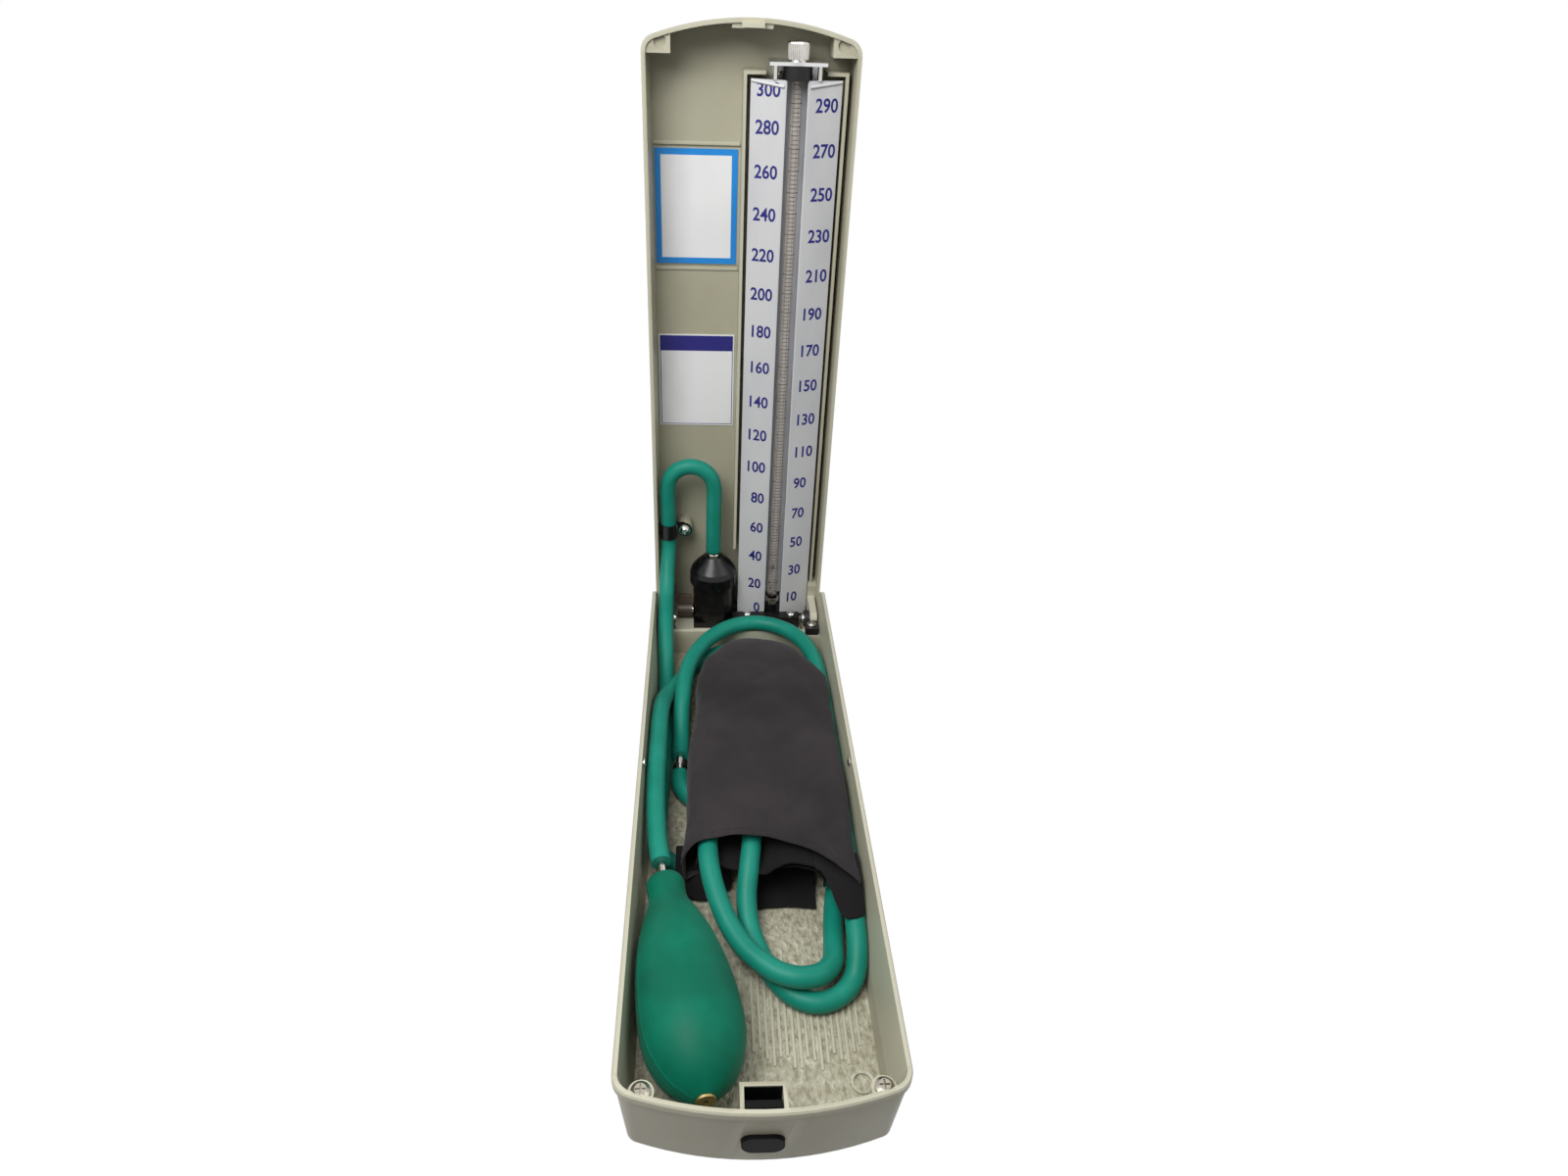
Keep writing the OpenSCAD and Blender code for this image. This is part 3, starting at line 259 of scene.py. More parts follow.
def new_object(
    name: str,
    points: Sequence[Sequence[float]],
    faces: Sequence[Sequence[int]],
    uv: Sequence[tuple[float, float]] | None = None,
    smooth: bool = True,
) -> Piece:
    """Makes a mesh object from points in millimetres.

    Args:
        name: The piece's name.
        points: Vertices in millimetres.
        faces: Vertex numbers of each face.
        uv: One texture place for each vertex, in metres.
        smooth: Whether the surface is shaded smooth.

    Returns:
        The new object, linked to the scene.
    """
    mesh = bpy.data.meshes.new(name)
    mesh.from_pydata([tuple(c * MM for c in p) for p in points], [], [tuple(f) for f in faces])
    if uv is not None:
        layer = mesh.uv_layers.new(name="UVMap")
        for loop in mesh.loops:
            layer.data[loop.index].uv = uv[loop.vertex_index]
    mesh.polygons.foreach_set("use_smooth", [smooth] * len(mesh.polygons))
    mesh.validate()
    mesh.update()
    return linked(name, mesh)


def grid_faces(rows: int, columns: int, closed: bool = False, flip: bool = False) -> Faces:
    """Faces of a grid of vertices laid out row by row.

    Args:
        rows: Number of rows.
        columns: Vertices in each row.
        closed: Whether each row is a ring.
        flip: Whether the faces turn the other way.

    Returns:
        Quads as vertex numbers.
    """
    faces: Faces = []
    for i in range(rows - 1):
        for j in range(columns if closed else columns - 1):
            k = (j + 1) % columns
            quad = (i * columns + j, i * columns + k, (i + 1) * columns + k, (i + 1) * columns + j)
            faces.append(quad[::-1] if flip else quad)
    return faces


def ring_faces(rings: int, sides: int, flip: bool = False) -> Faces:
    """Faces of a skin of rings with both ends closed.

    Args:
        rings: Number of rings.
        sides: Vertices in each ring.
        flip: Whether the faces turn the other way.

    Returns:
        Quads and the two end faces, as vertex numbers.
    """
    ends = [tuple(range(sides))[::-1], tuple((rings - 1) * sides + k for k in range(sides))]
    faces = grid_faces(rings, sides, closed=True, flip=flip)
    return faces + [end[::-1] if flip else end for end in ends]


def tube_mesh(name: str, line: Sequence[Vector], radius: float, sides: int) -> Piece:
    """A round tube along a line, with both ends closed.

    Args:
        name: The piece's name.
        line: The tube's middle line in millimetres.
        radius: The tube's radius in millimetres.
        sides: Vertices round the tube.

    Returns:
        The tube.
    """
    points: list[Vector] = []
    uv: list[tuple[float, float]] = []
    side = UP.cross(line[1] - line[0])
    side = side.normalized() if side.length > 1e-6 else Vector((1, 0, 0))
    run = 0.0
    for i, p in enumerate(line):
        along = (line[min(i + 1, len(line) - 1)] - line[max(i - 1, 0)]).normalized()
        side = (side - along * side.dot(along)).normalized()
        other = along.cross(side)
        run += (p - line[i - 1]).length if i else 0.0
        for k in range(sides):
            a = 2 * math.pi * k / sides
            points.append(p + radius * (math.cos(a) * side + math.sin(a) * other))
            uv.append((a * radius * MM, run * MM))
    return new_object(name, points, ring_faces(len(line), sides), uv)


def tube_curve(name: str, line: Sequence[Vector], radius: float) -> Piece:
    """A round tube as a curve object with one open run.

    Args:
        name: The piece's name.
        line: The tube's middle line in millimetres.
        radius: The tube's radius in millimetres.

    Returns:
        The curve object.
    """
    curve = bpy.data.curves.new(name, "CURVE")
    curve.dimensions = "3D"
    curve.bevel_depth = radius * MM
    curve.bevel_resolution = 6
    curve.use_fill_caps = True
    run = curve.splines.new("POLY")
    run.points.add(len(line) - 1)
    for point, place in zip(run.points, line):
        point.co = (*(place * MM), 1.0)
    run.use_smooth = True
    return linked(name, curve)


def slab(name: str, low: Point, high: Point, bevel: float) -> Piece:
    """A flat plate with softened edges.

    Args:
        name: The piece's name.
        low: Lowest corner in millimetres.
        high: Highest corner in millimetres.
        bevel: Radius of the softened edges in millimetres.

    Returns:
        The plate.
    """
    mesh = bmesh.new()
    bmesh.ops.create_cube(mesh, size=1.0)
    size = Vector(high) - Vector(low)
    middle = (Vector(high) + Vector(low)) / 2
    for v in mesh.verts:
        v.co = Vector(a * b for a, b in zip(v.co, size)) + middle
    bmesh.ops.bevel(mesh, geom=mesh.edges[:], offset=bevel, segments=2, profile=0.7, affect="EDGES")
    points = [tuple(v.co) for v in mesh.verts]
    mesh.verts.index_update()
    faces = [[v.index for v in f.verts] for f in mesh.faces]
    mesh.free()
    return new_object(name, points, faces, smooth=False)


def joined(name: str, parts: Sequence[Piece]) -> Piece:
    """Joins mesh pieces into one.

    Args:
        name: The joined piece's name.
        parts: The pieces, which are used up.

    Returns:
        The one piece.
    """
    whole = bmesh.new()
    for part in parts:
        part.data.transform(part.matrix_world)
        whole.from_mesh(part.data)
    mesh = bpy.data.meshes.new(name)
    whole.to_mesh(mesh)
    whole.free()
    for part in parts:
        bpy.data.objects.remove(part)
    return linked(name, mesh)


def thicken(sheet: Piece, thickness: float) -> None:
    """Gives a sheet of cloth its thickness and one step of smoothing.

    Args:
        sheet: The sheet, as a single surface.
        thickness: The cloth's thickness in millimetres.
    """
    thick = sheet.modifiers.new("thick", "SOLIDIFY")
    thick.thickness = thickness * MM
    thick.offset = 0.0
    soft = sheet.modifiers.new("soft", "SUBSURF")
    soft.levels = soft.render_levels = 1
    mesh = evaluated_mesh(sheet)
    sheet.modifiers.clear()
    sheet.data = mesh


# ---------------------------------------------------------------- finishes


class Coordinates(Enum):
    """What a texture is laid out on."""

    OBJECT = "Object"
    UV = "UV"


class Across(Enum):
    """The axis that the bands of a texture follow each other on."""

    WIDTH = "X"
    LENGTH = "Y"


class Maths(Enum):
    """What a node works out from two values."""

    PRODUCT = "MULTIPLY"
    LARGER = "MAXIMUM"


class NodeBench:
    """Lays out the nodes of one material, or of the world."""

    def __init__(self, owner: bpy.types.ID) -> None:
        """Starts from the nodes that a new material or world has.

        Args:
            owner: The material or world.
        """
        owner.use_nodes = True
        self.owner = owner
        self.nodes, self.links = owner.node_tree.nodes, owner.node_tree.links

    def feed(self, source: object, target: Socket) -> None:
        """Links a socket to a target, or sets a number or colour on it.

        Args:
            source: A socket, a number or a colour.
            target: The socket that takes it.
        """
        if isinstance(source, Socket):
            self.links.new(source, target)
        else:
            target.default_value = (*source, 1.0) if target.type == "RGBA" else source

    def feed_all(self, node: bpy.types.Node, values: dict[str, object]) -> bpy.types.Node:
        """Feeds the named inputs of a node; underscores in their names stand for spaces.

        Args:
            node: The node.
            values: What its inputs take, by their names.

        Returns:
            The same node.
        """
        for key, value in values.items():
            self.feed(value, node.inputs[key.replace("_", " ")])
        return node

    def node(self, kind: str, **values: object) -> bpy.types.Node:
        """Adds a shader node with these inputs."""
        return self.feed_all(self.nodes.new("ShaderNode" + kind), values)

    def surface(self, **values: object) -> None:
        """Feeds the inputs of the material's own shader."""
        self.feed_all(self.nodes["Principled BSDF"], values)

    def noise(
        self, scale: float, detail: float = 4, stretch: Point = (1, 1, 1),
        on: Coordinates = Coordinates.OBJECT,
    ) -> Socket:
        """Adds a noise texture.

        Args:
            scale: Blobs in a metre.
            detail: How many finer layers it has.
            stretch: How much finer it is along each direction.
            on: What it is laid out on.

        Returns:
            Its value.
        """
        laid = self.node("Mapping", Vector=self.node("TexCoord").outputs[on.value], Scale=stretch)
        return self.node("TexNoise", Vector=laid.outputs["Vector"], Scale=scale, Detail=detail).outputs["Fac"]

    def bands(self, scale: float, across: Across) -> Socket:
        """Adds soft parallel bands across the cloth.

        Args:
            scale: Blender's wave scale.
            across: The axis that the bands follow each other on.

        Returns:
            Their value.
        """
        laid = self.node("TexCoord").outputs[Coordinates.UV.value]
        texture = self.node("TexWave", Vector=laid, Scale=scale, Distortion=0.4, Detail_Scale=0.6)
        texture.bands_direction = across.value
        return texture.outputs["Fac"]

    def maths(self, kind: Maths, a: object, b: object) -> Socket:
        """Works out one value from two.

        Args:
            kind: What is worked out.
            a: A socket or a number.
            b: A socket or a number.

        Returns:
            The result.
        """
        node = self.nodes.new("ShaderNodeMath")
        node.operation = kind.value
        self.feed(a, node.inputs[0])
        self.feed(b, node.inputs[1])
        return node.outputs["Value"]

    def both(self, a: object, b: object) -> Socket:
        """Multiplies two values."""
        return self.maths(Maths.PRODUCT, a, b)

    def ramp(
        self, value: Socket, low: float, high: float, first: float = 0.0, last: float = 1.0,
    ) -> Socket:
        """Spreads a value between two limits.

        Args:
            value: The value to spread.
            low: What becomes first.
            high: What becomes last.
            first: One end of the result.
            last: The other end of the result.

        Returns:
            The spread value, held at both ends.
        """
        limits = {"From_Min": low, "From_Max": high, "To_Min": first, "To_Max": last}
        return self.node("MapRange", Value=value, **limits).outputs["Result"]

    def mix(self, amount: Socket, a: object, b: object, share: float = 1.0) -> Socket:
        """Mixes two colours.

        Args:
            amount: 0 for the first colour, 1 for the second.
            a: A socket or a colour.
            b: A socket or a colour.
            share: How much of the second colour shows at most.

        Returns:
            The mixed colour.
        """
        node = self.nodes.new("ShaderNodeMix")
        node.data_type = "RGBA"
        amount = amount if share == 1.0 else self.both(amount, share)
        factor, first, second = (node.inputs[n] for n in (0, 6, 7))
        for source, target in ((amount, factor), (a, first), (b, second)):
            self.feed(source, target)
        return node.outputs[2]

    def rough(self, value: Socket, low: float, high: float) -> None:
        """Makes the roughness vary between two values."""
        self.surface(Roughness=self.ramp(value, 0, 1, low, high))

    def bump(self, *layers: tuple[Socket, float, float]) -> None:
        """Stacks bumps on the surface.

        Args:
            *layers: A height, its strength and its depth in millimetres, for each bump.
        """
        below: dict[str, object] = {}
        for height, strength, depth in layers:
            node = self.node("Bump", Height=height, Strength=strength, Distance=depth * MM, **below)
            below = {"Normal": node.outputs["Normal"]}
        self.surface(**below)

    def worn(self, low: float, high: float) -> Socket:
        """Where edges stand out, for worn edges and for painted edge highlights: 0 at the low pointiness, 1
        at the high one.
        """
        return self.ramp(self.node("NewGeometry").outputs["Pointiness"], low, high)

    def height_of(self, vector: Socket) -> Socket:
        """The upright part of a place or direction."""
        return self.node("SeparateXYZ", Vector=vector).outputs["Z"]

    def backdrop(self) -> Socket:
        """1 for rays from the camera, off metal and through glass, and 0 for all others.

        Returns:
            The share.
        """
        path = self.node("LightPath").outputs
        mirrored = self.maths(Maths.LARGER, path["Is Glossy Ray"], path["Is Transmission Ray"])
        return self.maths(Maths.LARGER, path["Is Camera Ray"], mirrored)


def tone(red: int, green: int, blue: int) -> Colour:
    """A screen colour of 0 to 255 as the linear colour that shaders take."""
    return tuple((c / 255) ** 2.2 for c in (red, green, blue))


@dataclass(frozen=True)
class Finish:
    """One finish of the object; each kind lays out its own nodes."""

    look: Look
    colour: Colour

    def lay(self, bench: NodeBench) -> None:
        """Lays out the nodes of this kind."""
        raise NotImplementedError

    def make(self) -> bpy.types.Material:
        """Builds the material.

        Returns:
            The material.
        """
        bench = NodeBench(bpy.data.materials.new(self.look.value))
        self.lay(bench)
        return bench.owner


@dataclass(frozen=True)
class Enamel(Finish):
    """Stove enamel on the case, satin, with a faint orange peel, and crinkled where the floor is cast."""

    shade: Colour
    # Light edge colour: edge wear, painted highlights on rims and rib edges, and painted glints on the
    # crinkle's crests.
    edge: Colour
    cast_floor: bool = False
    # Painted shade in the pits of the floor's crinkle.
    pit: Colour = tone(122, 114, 92)
    # Heights in metres below and above which the crinkle is whole and gone.
    floor_top: float = 0.0031
    floor_fade: float = 0.0042

    def lay(self, bench: NodeBench) -> None:
        """Lays clouds, specks, edges lightened by wear and by painted highlights, then the floor's crinkle
        with painted shade in its pits and painted glints on its crests.

        Args:
            bench: The material's bench.
        """
        cloud = bench.noise(22, 5)
        base = bench.mix(bench.ramp(cloud, 0.35, 0.7), self.colour, self.shade)
        base = bench.mix(bench.ramp(bench.noise(900, 3), 0.62, 0.75), base, self.shade, 0.35)
        # Lighter edges: partly wear, partly painted highlights along the rims.
        base = bench.mix(bench.worn(0.52, 0.6), base, self.edge, 0.55)
        peel = (bench.noise(1400, 2), 0.12, 0.05)
        if self.cast_floor:
            low = bench.height_of(bench.node("TexCoord").outputs[Coordinates.OBJECT.value])
            facing = bench.height_of(bench.node("NewGeometry").outputs["Normal"])
            level = bench.ramp(low, self.floor_fade, self.floor_top)
            inside = bench.both(level, bench.ramp(facing, 0.5, 0.9))
            crinkle = bench.noise(440, 2, stretch=(1, 0.62, 1))
            # Painted shade in the crinkle's pits and painted glints on its crests, laid over the bump.
            base = bench.mix(bench.both(bench.ramp(crinkle, 0.5, 0.34), inside), base, self.pit, 0.62)
            base = bench.mix(bench.both(bench.ramp(crinkle, 0.58, 0.68), inside), base, self.edge, 0.55)
            bench.bump(peel, (bench.both(crinkle, inside), 1.0, 1.7))
        else:
            bench.bump(peel)
        bench.rough(cloud, 0.34, 0.48)
        bench.surface(Base_Color=base, Specular_IOR_Level=0.28, Coat_Weight=0.04, Coat_Roughness=0.25)


@dataclass(frozen=True)
class Moulded(Finish):
    """Moulded plastic or a painted casting."""

    shade: Colour
    rough_low: float
    rough_high: float
    grain: float = 0.15
    gloss: float = 0.36

    def lay(self, bench: NodeBench) -> None:
        """Lays clouds, rubbed edges and a fine grain.

        Args:
            bench: The material's bench.
        """
        cloud = bench.noise(160, 5)
        base = bench.mix(bench.ramp(cloud, 0.4, 0.72), self.colour, self.shade)
        base = bench.mix(bench.worn(0.53, 0.62), base, self.shade, 0.5)
        bench.surface(Base_Color=base, Specular_IOR_Level=self.gloss)
        bench.rough(cloud, self.rough_low, self.rough_high)
        bench.bump((bench.noise(2600, 3), self.grain, 0.04))


@dataclass(frozen=True)
class Plated(Finish):
    """Bright plate or bare sheet metal with fine marks."""

    rough_low: float
    rough_high: float
    stretch: Point = (1, 1, 1)
    marks: float = 0.06
    dulling: float = 0.72

    def lay(self, bench: NodeBench) -> None:
        """Lays dull clouds and brushed marks.

        Args:
            bench: The material's bench.
        """
        brushed = bench.noise(700, 4, stretch=self.stretch)
        dull = tuple(c * self.dulling for c in self.colour)
        base = bench.mix(bench.ramp(bench.noise(120, 3), 0.45, 0.8), self.colour, dull)
        bench.surface(Base_Color=base, Metallic=1.0)
        bench.rough(brushed, self.rough_low, self.rough_high)
        bench.bump((brushed, self.marks, 0.03))


@dataclass(frozen=True)
class Printed(Finish):
    """Flat printed or painted sheet, a little soiled."""

    soil: Colour
    roughness: float

    def lay(self, bench: NodeBench) -> None:
        """Lays faint soiling and the paper's tooth.

        Args:
            bench: The material's bench.
        """
        cloud = bench.noise(45, 6, stretch=(1, 1, 0.4))
        base = bench.mix(bench.ramp(cloud, 0.42, 0.85), self.colour, self.soil)
        bench.surface(Base_Color=base, Specular_IOR_Level=0.5)
        bench.rough(cloud, self.roughness - 0.05, self.roughness + 0.1)
        bench.bump((bench.noise(1500, 2), 0.05, 0.02))


@dataclass(frozen=True)
class Rubber(Finish):
    """Dipped rubber with a light bloom."""

    bloom: Colour
    roughness: float
    gloss: float = 0.3

    def lay(self, bench: NodeBench) -> None:
        """Lays clouds and specks of bloom on a soft, slightly uneven skin.

        Args:
            bench: The material's bench.
        """
        cloud = bench.noise(48, 5)
        speck = bench.noise(1300, 3)
        base = bench.mix(bench.ramp(cloud, 0.38, 0.75), self.colour, self.bloom)
        base = bench.mix(bench.ramp(speck, 0.6, 0.8), base, self.bloom, 0.25)
        bench.surface(Base_Color=base, Specular_IOR_Level=self.gloss, Sheen_Weight=0.03, Sheen_Roughness=0.5)
        bench.rough(cloud, self.roughness - 0.06, self.roughness + 0.08)
        bench.bump((speck, 0.25, 0.05), (bench.noise(260, 2), 0.1, 0.2))


@dataclass(frozen=True)
class Woven(Finish):
    """Plain-weave cloth with a soft nap."""

    shade: Colour
    thread: float = 0.55

    def lay(self, bench: NodeBench) -> None:
        """Lays warp and weft, slubs, nap and a cloudy dye.

        Args:
            bench: The material's bench.
        """
        scale = 0.314 / (self.thread * MM)
        weave = bench.both(bench.bands(scale, Across.WIDTH), bench.bands(scale, Across.LENGTH))
        slub = bench.noise(240, 4, stretch=(1, 0.2, 1), on=Coordinates.UV)
        nap = bench.noise(3200, 3)
        base = bench.mix(bench.ramp(bench.noise(26, 5), 0.35, 0.72), self.colour, self.shade)
        base = bench.mix(weave, base, self.shade, 0.45)
        base = bench.mix(bench.ramp(slub, 0.55, 0.8), base, self.shade, 0.3)
        bench.surface(Base_Color=base, Specular_IOR_Level=0.2, Sheen_Weight=0.08, Sheen_Roughness=0.45)
        bench.rough(nap, 0.78, 0.95)
        bench.bump((weave, 0.5, 0.12), (nap, 0.3, 0.06), (slub, 0.25, 0.12))


@dataclass(frozen=True)
class Glass(Finish):
    """Clear drawn glass."""

    def lay(self, bench: NodeBench) -> None:
        """Lays the faint draw lines of the tube.

        Args:
            bench: The material's bench.
        """
        draw = bench.noise(300, 2, stretch=(1, 1, 0.04))
        bench.surface(Base_Color=self.colour, Transmission_Weight=1.0, IOR=1.47, Alpha=0.22)
        bench.rough(draw, 0.0, 0.06)
        bench.bump((draw, 0.02, 0.02))


@dataclass
class Finishes:
    """Every finish of the object, as a material."""

    made: dict[Look, bpy.types.Material] = field(default_factory=dict)

    def build(self) -> None:
        """Makes one material for each finish."""
        # Light enamel edge colour: edge wear, painted rim highlights and painted glints on the floor's
        # crinkle.
        edge = tone(205, 203, 184)
        for finish in (
            Enamel(Look.ENAMEL_CASE, tone(171, 168, 148), tone(159, 155, 135), edge, cast_floor=True),
            Enamel(Look.ENAMEL_TRIM, tone(177, 174, 155), tone(149, 145, 125), edge),
            Moulded(Look.ENAMEL_BLACK, tone(20, 20, 22), tone(38, 37, 36), 0.28, 0.42),
            Moulded(Look.MOULDED_BLACK, tone(12, 12, 14), tone(26, 25, 26), 0.24, 0.4),
            Moulded(Look.BUTTON_BLACK, tone(8, 8, 10), tone(18, 17, 18), 0.5, 0.65, gloss=0.12),
            Moulded(Look.MOULDED_LEVER, tone(104, 90, 80), tone(74, 63, 56), 0.3, 0.45),
            Moulded(Look.NYLON_WASHER, tone(190, 180, 155), tone(165, 155, 130), 0.4, 0.55),
            Plated(Look.NICKEL_PLATE, (0.66, 0.64, 0.6), 0.1, 0.26),
            # Brassy nickel of the corner screws, darkened as painted shade of the recesses they sit in.
            Plated(Look.WORN_NICKEL, (0.4, 0.37, 0.31), 0.22, 0.4),
            Plated(Look.BRUSHED_STEEL, (0.72, 0.72, 0.72), 0.22, 0.4, (0.1, 4, 4), 0.15),
            Plated(Look.DULL_BRASS, (0.62, 0.47, 0.2), 0.3, 0.45),
            Plated(Look.MERCURY_METAL, (0.8, 0.8, 0.81), 0.03, 0.06, marks=0.0),
            Printed(Look.SCALE_WHITE, tone(196, 196, 197), tone(180, 181, 184), 0.4),
            # Grey of the groove lining: painted shade in the groove behind the tube.
            Printed(Look.GROOVE_GREY, tone(156, 157, 160), tone(136, 137, 141), 0.34),
            Printed(Look.LABEL_BLUE, tone(24, 128, 205), tone(20, 110, 185), 0.35),
            Printed(Look.LABEL_WHITE, tone(224, 224, 225), tone(212, 212, 214), 0.38),
            Printed(Look.INK_NAVY, tone(28, 23, 104), tone(40, 36, 118), 0.5),
            Printed(Look.INK_TICK, tone(58, 49, 47), tone(80, 70, 66), 0.55),
            Printed(Look.TUBE_BACK, tone(190, 180, 171), tone(174, 164, 156), 0.4),
            Rubber(Look.HOSE_GREEN, tone(18, 120, 102), tone(32, 134, 116), 0.46, gloss=0.22),
            Rubber(Look.BULB_GREEN, tone(0, 94, 73), tone(4, 112, 88), 0.52, gloss=0.14),
            Rubber(Look.GASKET_RED, tone(92, 44, 36), tone(110, 58, 48), 0.6),
            Rubber(Look.BLADDER_GREEN, tone(40, 118, 92), tone(56, 132, 106), 0.5),
            Woven(Look.CUFF_CLOTH, tone(54, 50, 52), tone(38, 35, 37)),
            Moulded(Look.THREAD, tone(40, 36, 38), tone(30, 27, 29), 0.6, 0.8, 0.4),
            # The cuff cloth again, darker: painted shade on the inner turns, the roll and the loose corners
            # under the outer turn.
            Woven(Look.CUFF_LINING, tone(27, 25, 27), tone(18, 16, 18)),
            Glass(Look.CLEAR_GLASS, (0.96, 0.98, 0.98)),
        ):
            self.made[finish.look] = finish.make()

    def put(self, piece: Piece, look: Look) -> None:
        """Gives a piece one finish."""
        piece.data.materials.clear()
        piece.data.materials.append(self.made[look])


# ---------------------------------------------------------------- sub-assemblies


@dataclass
class Assembly:
    """A sub-assembly, with the one way that its pieces are dressed."""

    finishes: Finishes

    def dress(self, piece: Piece, finish: Look, slot: Slot, body: Body | None = Body.TRAY) -> None:
        """Gives a piece its finish and the body that it rides on.

        Args:
            piece: The piece.
            finish: The finish.
            slot: The record's material slot; not used.
            body: The body, or None for a piece that follows two of them.
        """
        self.finishes.put(piece, finish)
        if body is not None:
            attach(piece, body.value)
        LOG.info("made %s", piece.name)

    def build(self) -> None:
        """Makes every piece."""
        raise NotImplementedError


@dataclass
class HardParts(Assembly):
    """The rigid solids of the frame, which keep their shape and get their finishes."""

    sharp_angle: float = 32.0
    by_slot: dict[Slot, Look] = field(default_factory=lambda: {
        Slot.CASE: Look.ENAMEL_CASE,
        Slot.BRACKET: Look.ENAMEL_BLACK,
        Slot.PLATED: Look.NICKEL_PLATE,
        Slot.STEEL: Look.BRUSHED_STEEL,
        Slot.WASHER: Look.NYLON_WASHER,
        Slot.BLACK_PLASTIC: Look.MOULDED_BLACK,
        Slot.LABEL_BLUE: Look.LABEL_BLUE,
        Slot.LABEL_WHITE: Look.LABEL_WHITE,
        Slot.SCALE: Look.SCALE_WHITE,
        Slot.GLASS: Look.CLEAR_GLASS,
        Slot.MERCURY: Look.MERCURY_METAL,
        Slot.GASKET: Look.GASKET_RED,
        Slot.LEVER: Look.MOULDED_LEVER,
        Slot.CLOTH: Look.CUFF_CLOTH,
        Slot.BLADDER: Look.BLADDER_GREEN,
        Slot.BULB_RUBBER: Look.BULB_GREEN,
        Slot.HOSE_RUBBER: Look.HOSE_GREEN,
        Slot.BRASS: Look.DULL_BRASS,
    })
    by_node: dict[str, Look] = field(default_factory=lambda: {
        # The corner screws take the darkened nickel, with painted shade for their recesses.
        "corner_screws": Look.WORN_NICKEL,
        "latch_button": Look.BUTTON_BLACK,
    })

    def build(self) -> None:
        """Puts each solid's finish on it and shades its curved walls smooth."""
        for part in frame["record"]["subparts"]:
            name = part["node"]
            node = frame["nodes"][name]
            usual = self.by_slot[Slot(part["material_slot"])]
            self.finishes.put(node, self.by_node.get(name, usual))
            node.data.polygons.foreach_set("use_smooth", [True] * len(node.data.polygons))
            node.data.set_sharp_from_angle(angle=math.radians(self.sharp_angle))
            LOG.info("finished %s", name)


@dataclass
class Case(Assembly):
    """Details of the tray that are too fine for the solids."""

    floor: float = 2.5
    rib_count: int = 17
    rib_start: float = -1.5
    rib_pitch: float = 2.6
    rib_width: float = 1.05
    rib_height: float = 0.75
    rib_front: float = -127.0
    rib_rear: float = -88.0
    rib_shift: float = 3.0
    bow: float = 0.011
    bow_middle: float = 20.0
    # A black plate at the back of the latch pocket paints the shade inside it.
    pocket_rear: float = -153.695
    shield_half: float = 6.6
    shield_low: float = 20.2
    shield_high: float = 34.2

    def ribs(self) -> Piece:
        """Makes the fine casting ribs on the tray's floor.

        Returns:
            The ribs as one piece.
        """
        ribs = []
        for i in range(self.rib_count):
            x = self.rib_start + i * self.rib_pitch
            shift = self.rib_shift * math.sin(i * 1.7)
            front = self.rib_front + shift + self.bow * (x - self.bow_middle) ** 2
            high = (x + self.rib_width, self.rib_rear + shift, self.floor + self.rib_height)
            ribs.append(slab(f"rib_{i}", (x, front, self.floor - 0.1), high, 0.12))
        return joined("floor_ribs", ribs)

    def shield(self) -> Piece:
        """Makes a thin black plate at the back of the latch pocket, as painted shade inside the pocket.

        Returns:
            The plate.
        """
        low = (-self.shield_half, self.pocket_rear - 0.3, self.shield_low)
        high = (self.shield_half, self.pocket_rear - 0.05, self.shield_high)
        return slab("latch_pocket_shade", low, high, 0.08)

    def build(self) -> None:
        """Makes the ribs and the black plate of painted shade in the latch pocket."""
        self.dress(self.ribs(), Look.ENAMEL_TRIM, Slot.CASE)
        self.dress(self.shield(), Look.MOULDED_BLACK, Slot.BLACK_PLASTIC)


@dataclass
class ReturnSpring(Assembly):
    """The coil spring behind the latch button, which shortens as the button goes in."""

    radius: float = 2.2
    wire: float = 0.35
    turns: int = 5
    front: float = -157.595
    back: float = -148.195
    height: float = 17.0
    travel: float = 1.4
    steps_per_turn: int = 24
    wire_sides: int = 10

    def build(self) -> None:
        """Makes the coil."""
        steps = self.steps_per_turn * self.turns
        line: list[Vector] = []
        for i in range(steps + 1):
            a = 2 * math.pi * self.turns * i / steps
            y = self.front + (self.back - self.front) * i / steps
            line.append(Vector((self.radius * math.cos(a), y, self.height + self.radius * math.sin(a))))
        piece = tube_mesh("return_spring", line, self.wire, self.wire_sides)
        self.dress(piece, Look.BRUSHED_STEEL, Slot.STEEL)
        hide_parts("latch_spring")
        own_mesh(piece)


